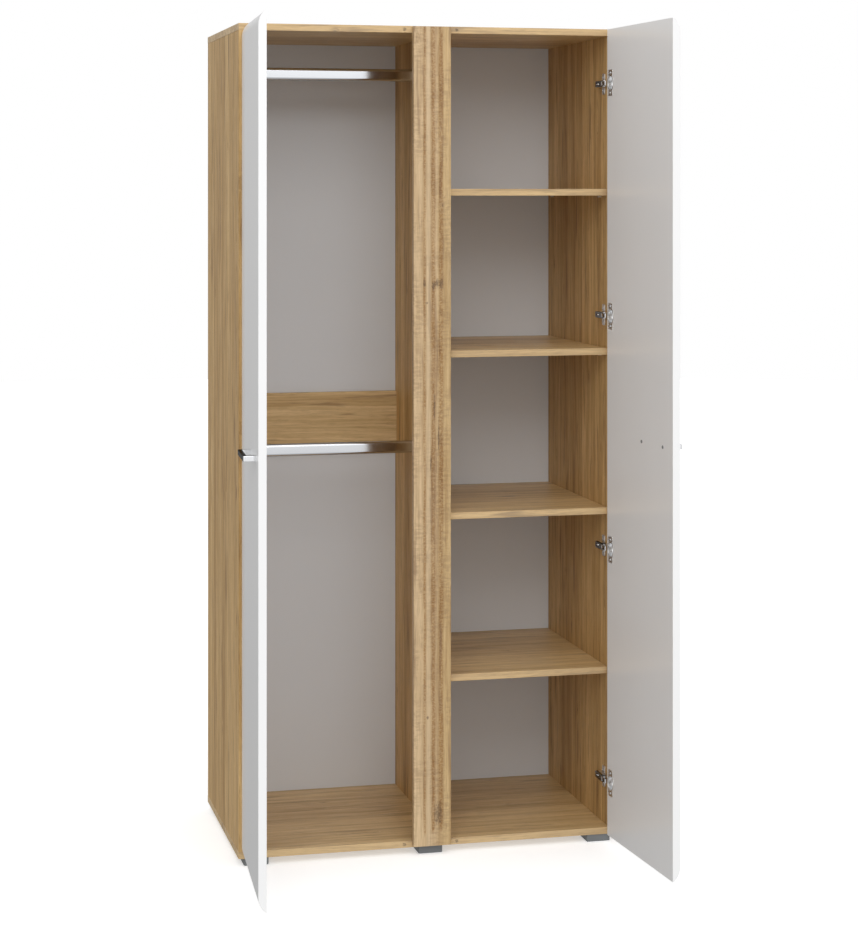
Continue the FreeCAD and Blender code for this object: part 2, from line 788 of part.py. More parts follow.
def make_foot_screws():
    """One screw up through each foot into the bottom panel."""
    length = "dims.foot_height - dims.foot_recess_depth + dims.screw_depth"
    return group("foot_screws", [
        board_screw(f"foot_screw_{number}", "+z", "-z", (x, y, "dims.foot_recess_depth"), length)
        for number, (x, y) in enumerate(foot_middles())
    ])


def make_bottom_panel():
    """The bottom panel, with a pilot hole over each foot."""
    body, corner = make_cap("bottom_panel", BOTTOM, FLOOR_TOP, "-z")
    for x, y in foot_middles():
        drill(body, corner, "+z", (x, y, BOTTOM),
              "dims.screw_radius + dims.fit", "dims.screw_depth + dims.slip")
    return body


def make_bumpers():
    """Clear dots on the carcass that the closing doors land beside."""
    pieces = []
    for low in (BOTTOM, CEILING):
        for side in (-1, 1):
            x = f"{side} * (dims.strip_width / 2 + dims.bumper_inset)"
            pieces.append(cylinder(f"bumper_{len(pieces)}", "-y",
                                   (x, FRONT, f"{low} + dims.board / 2"),
                                   "dims.bumper_radius", "dims.bumper_height"))
    return group("door_bumpers", pieces)


def door_outline(body, side):
    """The door's upright section: a flat slab whose outer face rolls back at
    both ends in a shallow arc, so that the outer face is shorter."""
    sketch = sketch_on(body, "YZ_Plane", body.Name + "_section")
    low, _ = door_span(side, "0", DOOR_WIDTH)
    sketch.setExpression("AttachmentOffset.Base.z", low)
    inner = size("pivot_front") - size("door_gap")
    outer = inner - size("door_thickness")
    base = size("foot_height")
    top = base + size("carcass_height")
    drop = size("door_end_drop")
    low_in, top_in = Vector(inner, base), Vector(inner, top)
    low_out, top_out = Vector(outer, base + drop), Vector(outer, top - drop)
    sketch.addGeometry(Part.LineSegment(low_in, top_in), False)
    sketch.addGeometry(end_arc(top_in, top_out), False)
    sketch.addGeometry(Part.LineSegment(top_out, low_out), False)
    sketch.addGeometry(end_arc(low_out, low_in), False)
    link = sketch.addConstraint
    link(Sketcher.Constraint("Vertical", 0))
    link(Sketcher.Constraint("Vertical", 2))
    for line, end, arc in ((0, 2, 1), (2, 1, 1), (2, 2, 3), (0, 1, 3)):
        point = sketch.getPoint(line, end)
        near = 1 if (sketch.getPoint(arc, 1) - point).Length < 0.001 else 2
        link(Sketcher.Constraint("Coincident", line, end, arc, near))
    sized = [
        ("inner", ("DistanceX", -1, 1, 0, 1, inner), DOOR_INNER),
        ("base", ("DistanceY", -1, 1, 0, 1, base), BOTTOM),
        ("tall", ("DistanceY", 0, 1, 0, 2, top - base), "dims.carcass_height"),
        ("thick", ("DistanceX", 2, 1, 0, 2, inner - outer), "dims.door_thickness"),
        ("drop_top", ("DistanceY", 2, 1, 0, 2, drop), "dims.door_end_drop"),
        ("drop_low", ("DistanceY", 0, 1, 2, 2, drop), "dims.door_end_drop"),
        ("arc_top", ("Radius", 1, size("door_end_radius")), "dims.door_end_radius"),
        ("arc_low", ("Radius", 3, size("door_end_radius")), "dims.door_end_radius"),
    ]
    for name, values, formula in sized:
        number = link(Sketcher.Constraint(*values))
        sketch.renameConstraint(number, name)
        sketch.setExpression(f"Constraints.{name}", formula)
    return sketch


def end_arc(start, end):
    """An arc of the door's end radius that bulges away from the door's middle."""
    radius = size("door_end_radius")
    chord = end - start
    middle = (start + end) * 0.5
    bulge = radius - math.sqrt(radius**2 - (chord.Length / 2) ** 2)
    outward = Vector(-chord.y, chord.x, 0).normalize()
    centre_height = size("foot_height") + size("carcass_height") / 2
    if (middle.y - centre_height) * outward.y < 0:
        outward = outward * -1
    return Part.Arc(start, middle + outward * bulge, end)


def make_door(word, side):
    """A door: slab, cup recesses, cup screw holes and handle screw holes."""
    body = doc.addObject("PartDesign::Body", f"{word}_door")
    pad(body, door_outline(body, side), DOOR_WIDTH)
    cup_x = door_place(side, "dims.cup_inset")
    for number in range(HINGE_COUNT):
        height = hinge_height(number)
        bore(body, "-y", (cup_x, DOOR_INNER, height),
             "dims.cup_radius + dims.fit", "dims.cup_depth + dims.fit")
        for sign in "-+":
            place = f"{height} {sign} dims.cup_screw_spacing / 2"
            bore(body, "-y", (cup_x, DOOR_INNER, place),
                 "dims.screw_radius + dims.fit", "dims.screw_depth + dims.slip")
    for along in (HANDLE_INNER, HANDLE_OUTER):
        bore(body, "-y", (door_place(side, along), DOOR_INNER, MIDDLE),
             "dims.handle_screw_radius + dims.slip", "dims.door_thickness")
    return swing(body, side)


def part_box(body, kind, label, corner, sizes):
    """A block added to, or taken from, a PartDesign body."""
    tool = body.newObject(f"PartDesign::{kind}Box", label)
    tool.AttachmentSupport = [(origin_plane(body, "XY_Plane"), "")]
    tool.MapMode = "FlatFace"
    for name, formula in zip(("Length", "Width", "Height"), sizes):
        tool.setExpression(name, str(formula))
    bind(tool, "AttachmentOffset.Base", corner)
    return tool


def make_handle(word, side):
    """A flat bow handle: a square-cornered bar that stands on two legs."""
    body = doc.addObject("PartDesign::Body", f"{word}_handle")
    face = f"({DOOR_INNER} - dims.door_thickness)"
    low = f"{MIDDLE} - dims.handle_height / 2"
    x, length = door_span(side, f"{HANDLE_INNER} - dims.handle_bar / 2",
                          f"{HANDLE_OUTER} + dims.handle_bar / 2")
    part_box(body, "Additive", body.Name + "_block",
             (x, f"{face} - dims.handle_projection", low),
             (length, "dims.handle_projection", "dims.handle_height"))
    x, length = door_span(side, f"{HANDLE_INNER} + dims.handle_bar / 2",
                          f"{HANDLE_OUTER} - dims.handle_bar / 2")
    gap = part_box(body, "Subtractive", body.Name + "_gap",
                   (x, f"{face} - dims.handle_projection + dims.handle_bar", low),
                   (length, "dims.handle_projection", "dims.handle_height"))
    doc.recompute()
    rounding = body.newObject("PartDesign::Fillet", body.Name + "_corners")
    rounding.Base = (gap, edges_along(gap.Shape, Vector(1, 0, 0)))
    rounding.setExpression("Radius", "dims.handle_corner")
    for along in (HANDLE_INNER, HANDLE_OUTER):
        bore(body, "-y", (door_place(side, along), face, MIDDLE),
             "dims.handle_screw_radius + dims.fit", "dims.handle_screw_bite + dims.slip")
    return swing(body, side)


def make_handle_screws(word, side):
    """Two machine screws from the door's inner face into the handle's legs."""
    pieces = [
        screw(f"{word}_handle_screw_{number}", "-y", "+y",
              (door_place(side, along), DOOR_INNER, MIDDLE), "dims.handle_screw_radius",
              "dims.handle_screw_head", "dims.screw_head_height",
              "dims.door_thickness + dims.handle_screw_bite")
        for number, along in enumerate((HANDLE_INNER, HANDLE_OUTER))
    ]
    return swing(group(f"{word}_handle_screws", pieces), side)


def make_cup(word, side, number):
    """A hinge cup: a round pot with a thin flange and two screw wings."""
    label = f"{word}_hinge_cup_{number + 1}"
    x = door_place(side, "dims.cup_inset")
    height = hinge_height(number)
    rim = (x, DOOR_INNER, height)
    pot = cylinder(label + "_pot", "-y", rim, "dims.cup_radius", "dims.cup_depth")
    flange = cylinder(label + "_flange", "+y", rim, "dims.cup_radius + dims.flange_rim",
                      "dims.flange_thickness")
    low, width = door_span(side, "dims.cup_inset - dims.flange_width / 2",
                           "dims.cup_inset + dims.flange_width / 2")
    wings = box(label + "_wings", (low, DOOR_INNER, f"{height} - dims.flange_height / 2"),
                (width, "dims.flange_thickness", "dims.flange_height"))
    mouth = (x, f"{DOOR_INNER} + dims.flange_thickness", height)
    hollow = cylinder(label + "_hollow", "-y", mouth, "dims.cup_radius - dims.cup_wall",
                      "dims.cup_depth - dims.cup_wall + dims.flange_thickness")
    holes = [
        cylinder(f"{label}_hole_{end}", "-y",
                 (x, mouth[1], f"{height} {sign} dims.cup_screw_spacing / 2"),
                 "dims.screw_radius + dims.slip", "dims.flange_thickness")
        for end, sign in (("low", "-"), ("top", "+"))
    ]
    solid = fuse(label + "_solid", [pot, flange, wings])
    return swing(cut(label, solid, fuse(label + "_voids", [hollow] + holes)), side)


def make_cup_screws(word, side):
    """Two screws through each cup's wings into the door."""
    pieces = []
    for number in range(HINGE_COUNT):
        for sign in "-+":
            start = (
                door_place(side, "dims.cup_inset"),
                f"{DOOR_INNER} + dims.flange_thickness",
                f"{hinge_height(number)} {sign} dims.cup_screw_spacing / 2",
            )
            pieces.append(board_screw(f"{word}_cup_screw_{len(pieces)}", "-y", "+y", start,
                                      "dims.flange_thickness + dims.screw_depth"))
    return swing(group(f"{word}_hinge_cup_screws", pieces), side)


INNER_INSET = "(dims.side_inset + dims.board)"
BLOCK_INSET = "(dims.side_inset + dims.board + dims.block_height)"
ARM_INSET = "(dims.side_inset + dims.board + dims.block_height + dims.arm_rise)"


def inset_box(label, side, near, far, front, back, low, high):
    """A block between two insets, two setbacks from the front and two heights."""
    x, width = inset_span(side, near, far)
    return box(label, (x, f"{FRONT} + {front}", low),
               (width, f"({back}) - ({front})", f"({high}) - ({low})"))


def make_plate(word, side, number):
    """A hinge's mounting plate: two screw wings and a raised middle block."""
    label = f"{word}_plate_{number + 1}"
    height = hinge_height(number)
    wings = inset_box(label + "_wings", side, INNER_INSET, f"{INNER_INSET} + dims.plate_thickness",
                      "dims.plate_setback - dims.plate_width / 2",
                      "dims.plate_setback + dims.plate_width / 2",
                      f"{height} - dims.plate_height / 2", f"{height} + dims.plate_height / 2")
    block = inset_box(label + "_block", side, INNER_INSET, BLOCK_INSET,
                      "dims.block_front + dims.slip", "dims.block_back",
                      f"{height} - dims.arm_width / 2", f"{height} + dims.arm_width / 2")
    holes = [
        cylinder(f"{label}_hole_{way}", "+x" if side < 0 else "-x",
                 (inset_place(side, INNER_INSET), f"{FRONT} + dims.plate_setback",
                  f"{height} {sign} dims.plate_screw_spacing / 2"),
                 "dims.screw_radius + dims.slip", "dims.plate_thickness")
        for way, sign in (("low", "-"), ("top", "+"))
    ]
    return cut(label, fuse(label + "_solid", [wings, block]), fuse(label + "_holes", holes))


def make_plates(word, side):
    """One side's four mounting plates."""
    return group(f"{word}_hinge_plates",
                 [make_plate(word, side, number) for number in range(HINGE_COUNT)])


def make_plate_screws():
    """Two screws through each mounting plate into the side panel."""
    pieces = []
    for word, side in SIDES.items():
        axis, back = ("+x", "-x") if side > 0 else ("-x", "+x")
        for number in range(HINGE_COUNT):
            for sign in "-+":
                start = (
                    inset_place(side, f"{INNER_INSET} + dims.plate_thickness"),
                    f"{FRONT} + dims.plate_setback",
                    f"{hinge_height(number)} {sign} dims.plate_screw_spacing / 2",
                )
                pieces.append(board_screw(f"plate_screw_{len(pieces)}", axis, back, start,
                                          "dims.plate_thickness + dims.screw_depth"))
    return group("hinge_plate_screws", pieces)


def make_arm(word, side, number):
    """A hinge arm: a channel clipped on its plate, with the link's pin at its tip."""
    label = f"{word}_hinge_arm_{number + 1}"
    height = hinge_height(number)
    half = "dims.arm_width / 2"
    pieces = [
        inset_box(label + "_cover", side, f"{ARM_INSET} - dims.arm_wall", ARM_INSET,
                  "dims.arm_cover_setback", "dims.block_back",
                  f"{height} - {half}", f"{height} + {half}")
    ]
    for way, low, high in (
        ("low", f"{height} - {half}", f"{height} - {half} + dims.arm_wall"),
        ("top", f"{height} + {half} - dims.arm_wall", f"{height} + {half}"),
    ):
        pieces.append(inset_box(f"{label}_rear_{way}", side, BLOCK_INSET, ARM_INSET,
                                "dims.block_front", "dims.block_back", low, high))
        pieces.append(inset_box(f"{label}_tip_{way}", side,
                                "dims.link_inset - 2 * dims.link_eye_radius", ARM_INSET,
                                "dims.arm_tip_setback", "dims.block_front", low, high))
    pin = (inset_place(side, "dims.link_inset"), f"{FRONT} + dims.link_setback",
           f"{height} - {half}")
    pieces.append(cylinder(label + "_pin", "+z", pin, "dims.link_pin_radius", "dims.arm_width"))
    return fuse(label, pieces)


def make_links(word, side):
    """One door's four hinge links, which turn together on their arms' pins."""
    pieces = []
    for number in range(HINGE_COUNT):
        label = f"{word}_link_{number + 1}"
        low = f"{hinge_height(number)} - dims.link_height / 2"
        eye = cylinder(label + "_eye", "+z", ("0", "0", low), "dims.link_eye_radius",
                       "dims.link_height")
        bar = box(label + "_bar", ("0", "-dims.link_radius", low),
                  ("dims.link_length", "2 * dims.link_radius", "dims.link_height"))
        tip = cylinder(label + "_tip", "+z", ("dims.link_length", "0", low),
                       "dims.link_radius", "dims.link_height")
        hole = cylinder(label + "_hole", "+z", ("0", "0", low),
                        "dims.link_pin_radius + dims.fit", "dims.link_height")
        pieces.append(cut(label, fuse(label + "_solid", [eye, bar, tip]), hole))
    item = group(f"{word}_hinge_links", pieces)
    item.Placement = Placement(Vector(), Rotation(Vector(0, 0, -1), 1))
    bind(item, "Placement.Base", (
        inset_place(side, "dims.link_inset"), f"{FRONT} + dims.link_setback", "0"))
    turn = "dims.link_open_angle" if side > 0 else "180 - dims.link_open_angle"
    item.setExpression("Placement.Rotation.Angle", f"({turn}) * 1 deg")
    return item


def make_carcass():
    """Everything that stands still."""
    parts = [
        make_cap("top_panel", CEILING, CEILING, "+z")[0],
        make_bottom_panel(),
        make_left_side(),
        make_right_side(),
        make_divider(),
        make_strip(),
        make_back_rail(),
    ]
    seam = "dims.back_seam / 2"
    divider_nails = nail_places("divider")
    edge = f"{HALF_WIDTH} - dims.back_edge_inset"
    parts.append(make_back_panel("back_panel_left", f"-({edge})", f"{DIVIDER_MIDDLE} - {seam}",
                                 [f"-{SIDE_MIDDLE}", divider_nails[0]]))
    parts.append(make_back_panel("back_panel_right", f"{DIVIDER_MIDDLE} + {seam}", edge,
                                 [divider_nails[1], SIDE_MIDDLE]))
    parts += [make_shelf(number) for number in range(SHELF_COUNT)]
    parts += [make_shelf_pins(), make_cams(), make_bolts(), make_dowels(), make_nails()]
    parts += [make_rail(f"hanging_rail_{name}", height) for name, height in RAILS.items()]
    parts += make_rail_brackets()
    parts += [make_foot(row, word) for row in FOOT_ROWS for word in FOOT_PLACES]
    parts += [make_foot_screws(), make_bumpers(), make_plate_screws()]
    return parts


def make_side_hardware(word, side):
    """One door with its handle and hinges."""
    parts = [
        make_door(word, side),
        make_handle(word, side),
        make_handle_screws(word, side),
        make_cup_screws(word, side),
        make_plates(word, side),
        make_links(word, side),
    ]
    parts += [make_cup(word, side, number) for number in range(HINGE_COUNT)]
    parts += [make_arm(word, side, number) for number in range(HINGE_COUNT)]
    return parts


def check(parts):
    """Stop if anything failed to build, before a file is written."""
    for item in doc.Objects:
        if "Invalid" in item.State or "Error" in item.State:
            raise RuntimeError(f"{item.Label} failed: {item.State}")
    for part in parts:
        if part.Shape.isNull() or not part.Shape.isValid() or not part.Shape.Solids:
            raise RuntimeError(f"{part.Label} has no valid solid")


parts = make_carcass()
for word, side in SIDES.items():
    parts += make_side_hardware(word, side)
doc.recompute()
check(parts)

os.makedirs("parts", exist_ok=True)
for part in parts:
    part.Shape.exportStep(f"parts/{part.Label}.step")
    print(f"{part.Label}: {len(part.Shape.Solids)} solids, {part.Shape.Volume / 1000:.1f} cm3")
print(f"{len(parts)} nodes")
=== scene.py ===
# %% [markdown]
# # A two-door wardrobe, surfaced
#
# The wardrobe is a box of oak-decor boards with two white gloss doors. A carved
# oak strip stands between the doors, and the doors hang on concealed hinges.
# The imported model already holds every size. Here each board, door, hinge,
# handle and rail gets its soft edges and its finish.

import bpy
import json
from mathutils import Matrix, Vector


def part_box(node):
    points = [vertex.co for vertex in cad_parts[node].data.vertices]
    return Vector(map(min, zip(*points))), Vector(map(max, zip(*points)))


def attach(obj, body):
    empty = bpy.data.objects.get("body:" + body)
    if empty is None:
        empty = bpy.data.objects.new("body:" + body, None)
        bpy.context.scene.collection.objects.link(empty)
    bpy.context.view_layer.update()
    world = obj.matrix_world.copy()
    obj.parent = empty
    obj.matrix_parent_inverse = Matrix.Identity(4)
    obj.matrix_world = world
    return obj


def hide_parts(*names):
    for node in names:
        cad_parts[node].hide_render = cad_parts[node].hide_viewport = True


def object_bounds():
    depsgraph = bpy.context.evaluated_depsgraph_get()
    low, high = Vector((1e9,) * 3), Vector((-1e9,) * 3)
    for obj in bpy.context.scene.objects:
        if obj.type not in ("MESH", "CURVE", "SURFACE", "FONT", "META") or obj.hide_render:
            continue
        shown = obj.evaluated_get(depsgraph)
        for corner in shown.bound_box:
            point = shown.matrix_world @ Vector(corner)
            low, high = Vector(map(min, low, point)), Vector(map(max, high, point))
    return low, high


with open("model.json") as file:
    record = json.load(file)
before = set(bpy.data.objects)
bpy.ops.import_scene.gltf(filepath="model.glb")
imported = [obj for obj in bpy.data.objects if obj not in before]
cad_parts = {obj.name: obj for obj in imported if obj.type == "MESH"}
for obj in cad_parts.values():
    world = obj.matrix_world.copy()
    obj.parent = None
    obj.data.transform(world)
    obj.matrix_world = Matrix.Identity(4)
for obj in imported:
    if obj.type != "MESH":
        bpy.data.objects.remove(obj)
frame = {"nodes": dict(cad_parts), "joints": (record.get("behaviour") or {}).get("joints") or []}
cad_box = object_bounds()
print("frame box", [round(v, 4) for corner in cad_box for v in corner])

# %% [markdown]
# ## Helpers for surfaces
#
# Almost every piece here is either a rounded block or an outline carried along
# a line. Both are grids of points: one direction goes round the section, the
# other goes along the piece. Working the points out as whole arrays keeps the
# formula in sight, and the same few helpers serve the whole wardrobe.

# %% Imports and grid faces
import json
import math

import bmesh
import bpy
import numpy as np
from mathutils import Vector, geometry

MM = 0.001


def grid_faces(rows, columns):
    """Quads of a grid that is closed round its columns and open along its rows."""
    row, column = np.meshgrid(np.arange(rows - 1), np.arange(columns), indexing="ij")
    beside = (column + 1) % columns
    corners = (row * columns + column, row * columns + beside,
               (row + 1) * columns + beside, (row + 1) * columns + column)
    return np.stack(corners, axis=-1).reshape(-1, 4).tolist()


def closed_grid(rings):
    """A closed shell from an array of rings: side quads and a cap at each end."""
    rows, columns, _ = rings.shape
    faces = grid_faces(rows, columns)
    faces.append(list(range(columns))[::-1])
    faces.append(list(range((rows - 1) * columns, rows * columns)))
    return rings.reshape(-1, 3), faces


def join(shells):
    """Several shells as one list of points and faces."""
    points, faces, count = [], [], 0
    for shell_points, shell_faces in shells:
        points.append(np.asarray(shell_points, float))
        faces += [[index + count for index in face] for face in shell_faces]
        count += len(shell_points)
    return np.concatenate(points), faces


# %% [markdown]
# ## Making a piece
#
# A piece is a mesh whose points already lie in the wardrobe's frame, so its
# object stays at the origin. Doubled points are merged and the faces turned
# outwards here, once, for every piece. Weighted normals keep the large flat
# faces flat while the narrow rounds at their edges still catch the light.

# %% Piece maker
def make_piece(name, shell, finish, body, replaces=(), sharp=50):
    """A mesh object that rides on a body and stands for the named CAD nodes."""
    points, faces = shell
    mesh = bpy.data.meshes.new(name)
    mesh.from_pydata(np.asarray(points).tolist(), [], faces)
    work = bmesh.new()
    work.from_mesh(mesh)
    bmesh.ops.remove_doubles(work, verts=work.verts, dist=1e-6)
    bmesh.ops.recalc_face_normals(work, faces=work.faces)
    work.to_mesh(mesh)
    work.free()
    mesh.shade_smooth()
    mesh.set_sharp_from_angle(angle=math.radians(sharp))
    piece = bpy.data.objects.new(name, mesh)
    bpy.context.scene.collection.objects.link(piece)
    mesh.materials.append(finish)
    flat = piece.modifiers.new("flat_faces", "WEIGHTED_NORMAL")
    flat.keep_sharp = True
    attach(piece, body)
    if replaces:
        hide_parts(*replaces)
    return piece


def rounded_block(low, high, radius, steps=3):
    """A block whose edges and corners are rounded.

    Each point is a corner of the block pulled in by the radius, plus the radius
    times a unit direction. The direction goes round in four quarter turns and
    from straight down to straight up, so each quarter makes one rounded corner.
    """
    low, high = np.array(low, float), np.array(high, float)
    middle, half = (low + high) / 2, (high - low) / 2
    radius = min(radius, half.min() * 0.98)
    quarter = np.linspace(0, np.pi / 2, steps + 1)
    turn = np.concatenate([quarter + q * np.pi / 2 for q in range(4)])
    signs = np.array([[1, 1], [-1, 1], [-1, -1], [1, -1]])
    sign_x, sign_y = np.repeat(signs[:, 0], steps + 1), np.repeat(signs[:, 1], steps + 1)
    lift = np.concatenate([quarter - np.pi / 2, quarter])
    sign_z = np.repeat([-1, 1], steps + 1)
    rings = np.empty((len(lift), len(turn), 3))
    rings[..., 0] = sign_x * (half[0] - radius) + radius * np.outer(np.cos(lift), np.cos(turn))
    rings[..., 1] = sign_y * (half[1] - radius) + radius * np.outer(np.cos(lift), np.sin(turn))
    rings[..., 2] = (sign_z * (half[2] - radius) + radius * np.sin(lift))[:, None]
    return closed_grid(rings + middle)


# %% Outlines and rods
def rounded_outline(corners, radii, steps=5):
    """A flat closed outline whose corners are replaced by arcs.

    At each corner the arc touches both sides at the radius over the tangent of
    half the corner's angle, and its points turn evenly between the two.
    """
    corners = np.array(corners, float)
    outline = []
    for index, (corner, radius) in enumerate(zip(corners, radii)):
        back = corners[index - 1] - corner
        ahead = corners[(index + 1) % len(corners)] - corner
        back, ahead = back / np.linalg.norm(back), ahead / np.linalg.norm(ahead)
        angle = math.acos(np.clip(back @ ahead, -1, 1))
        if radius == 0 or angle > math.radians(178):
            outline.append(corner)
            continue
        reach = radius / math.tan(angle / 2)
        middle = (back + ahead) / np.linalg.norm(back + ahead)
        centre = corner + middle * radius / math.sin(angle / 2)
        start, end = corner + back * reach - centre, corner + ahead * reach - centre
        share = np.linspace(0, 1, steps + 1)[:, None]
        sweep = math.acos(np.clip(start @ end / radius**2, -1, 1))
        arc = (np.sin((1 - share) * sweep) * start + np.sin(share * sweep) * end)
        outline += list(centre + arc / math.sin(sweep))
    return np.array(outline)


def turned(profile, centre, axis, around=32):
    """A profile of (radius, height) pairs turned about an axis through a centre."""
    axis = Vector(axis).normalized()
    side = axis.orthogonal().normalized()
    across = axis.cross(side)
    angle = np.linspace(0, 2 * np.pi, around, endpoint=False)
    profile = np.array(profile, float)
    circle = np.outer(np.cos(angle), side) + np.outer(np.sin(angle), across)
    rings = profile[:, 0, None, None] * circle[None]
    rings = rings + profile[:, 1, None, None] * np.array(axis)[None, None]
    return closed_grid(rings + np.array(centre, float))


print("helpers ready")

# %% [markdown]
# ## Helpers for finishes
#
# Each finish is a node tree. Writing nodes through three short functions keeps
# a recipe readable: one adds a node, one does arithmetic, and one blends colours.

# %% Node helpers
def new_finish(name):
    """An empty material, its tree and its main shader."""
    material = bpy.data.materials.new(name)
    material.use_nodes = True
    return material, material.node_tree, material.node_tree.nodes["Principled BSDF"]


def node(tree, kind, inputs=None, **settings):
    """Add a node, then set or link its inputs by name or number."""
    made = tree.nodes.new("ShaderNode" + kind)
    for key, value in settings.items():
        setattr(made, key, value)
    for key, value in (inputs or {}).items():
        if isinstance(value, bpy.types.NodeSocket):
            tree.links.new(value, made.inputs[key])
        else:
            made.inputs[key].default_value = value
    return made


def calc(tree, operation, a, b=0.0, c=0.0):
    """Arithmetic on sockets or numbers."""
    return node(tree, "Math", {0: a, 1: b, 2: c}, operation=operation).outputs[0]


def blend_colours(tree, share, first, second, mode="MIX"):
    """Blend two colours by a share from 0 to 1."""
    made = node(tree, "Mix", {0: share, 6: first, 7: second}, data_type="RGBA", blend_type=mode)
    return made.outputs[2]


def step_up(tree, value, low, high):
    """A smooth rise from 0 at low to 1 at high."""
    made = node(tree, "MapRange", {0: value, 1: low, 2: high}, interpolation_type="SMOOTHSTEP")
    return made.outputs[0]


def noise(tree, vector, scale=1.0, detail=3.0, rough=0.55):
    """A noise value between 0 and 1."""
    made = node(tree, "TexNoise", {"Vector": vector, "Scale": scale, "Detail": detail,
                                   "Roughness": rough})
    return made.outputs["Fac"]


def stretched(tree, place, across, thick, along):
    """Scale a place so that a pattern is short across and long along the grain."""
    return node(tree, "VectorMath", {0: place, 1: (across, thick, along)},
                operation="MULTIPLY").outputs[0]


def pattern(tree, place, across, along, low, high, detail=3.0, rough=0.55):
    """Noise drawn out along the grain, spread so that it rises from 0 to 1."""
    drawn = noise(tree, stretched(tree, place, across, across, along), detail=detail, rough=rough)
    return step_up(tree, drawn, low, high)


def share_of(tree, value, amount):
    """A value scaled by an amount."""
    return calc(tree, "MULTIPLY", value, amount)


def falling(tree, value, low, high):
    """A smooth fall from 1 at low to 0 at high."""
    return calc(tree, "SUBTRACT", 1.0, step_up(tree, value, low, high))


# %% [markdown]
# ## Oak decor
#
# The boards are faced with a printed oak decor: narrow planks side by side,
# fine fibres, short pores, darker heart streaks and a few knots. All of it is
# one recipe. The grain's direction is chosen per board, and each plank shifts
# the pattern, so that neighbours differ as real planks do.

# %% Oak recipe
OAK_LIGHT = (0.730, 0.495, 0.222, 1)
OAK_MID = (0.400, 0.230, 0.078, 1)
OAK_BROWN = (0.190, 0.092, 0.034, 1)
OAK_KNOT = (0.080, 0.040, 0.018, 1)
OAK_WASH = (0.750, 0.720, 0.580, 1)
PLANK = 0.098
PLANK_START = 0.031
PLANK_SLIDE = (1.7, 5.3)
WARP_REACH = 0.045
KNOT_REACH = 0.012
RING_SPACING = 0.0085


def grain_place(tree, along, across):
    """Object coordinates rearranged as (across, thickness, along)."""
    place = node(tree, "TexCoord").outputs["Object"]
    split = node(tree, "SeparateXYZ", {0: place})
    thick = ({"X", "Y", "Z"} - {along, across}).pop()
    return [split.outputs[axis] for axis in (across, thick, along)]


def plank_shift(tree, parts):
    """Give each plank its own shift along and across the grain, and its tone."""
    across, thick, along = parts
    place = calc(tree, "DIVIDE", calc(tree, "ADD", across, PLANK_START), PLANK)
    random = node(tree, "TexWhiteNoise", {"W": calc(tree, "FLOOR", place)},
                  noise_dimensions="1D")
    tone = random.outputs["Value"]
    shifted = node(tree, "CombineXYZ", {
        0: calc(tree, "MULTIPLY_ADD", tone, PLANK_SLIDE[0], across),
        1: thick,
        2: calc(tree, "MULTIPLY_ADD", tone, PLANK_SLIDE[1], along),
    }).outputs[0]
    from_middle = calc(tree, "SUBTRACT", calc(tree, "FRACT", place), 0.5)
    seam = step_up(tree, calc(tree, "ABSOLUTE", from_middle), 0.492, 0.5)
    return shifted, tone, seam


def knots_at(tree, place):
    """Rare round spots: a dark knot at the middle and a halo that bends the grain."""
    spots = node(tree, "TexVoronoi", {"Vector": stretched(tree, place, 7.0, 0.0, 2.1)},
                 feature="F1")
    lot = node(tree, "SeparateColor", {0: spots.outputs["Color"]}).outputs[0]
    rare = step_up(tree, lot, 0.60, 0.66)
    away = spots.outputs["Distance"]
    return (calc(tree, "MULTIPLY", rare, falling(tree, away, 0.02, 0.065)),
            calc(tree, "MULTIPLY", falling(tree, away, 0.0, 0.30), rare))


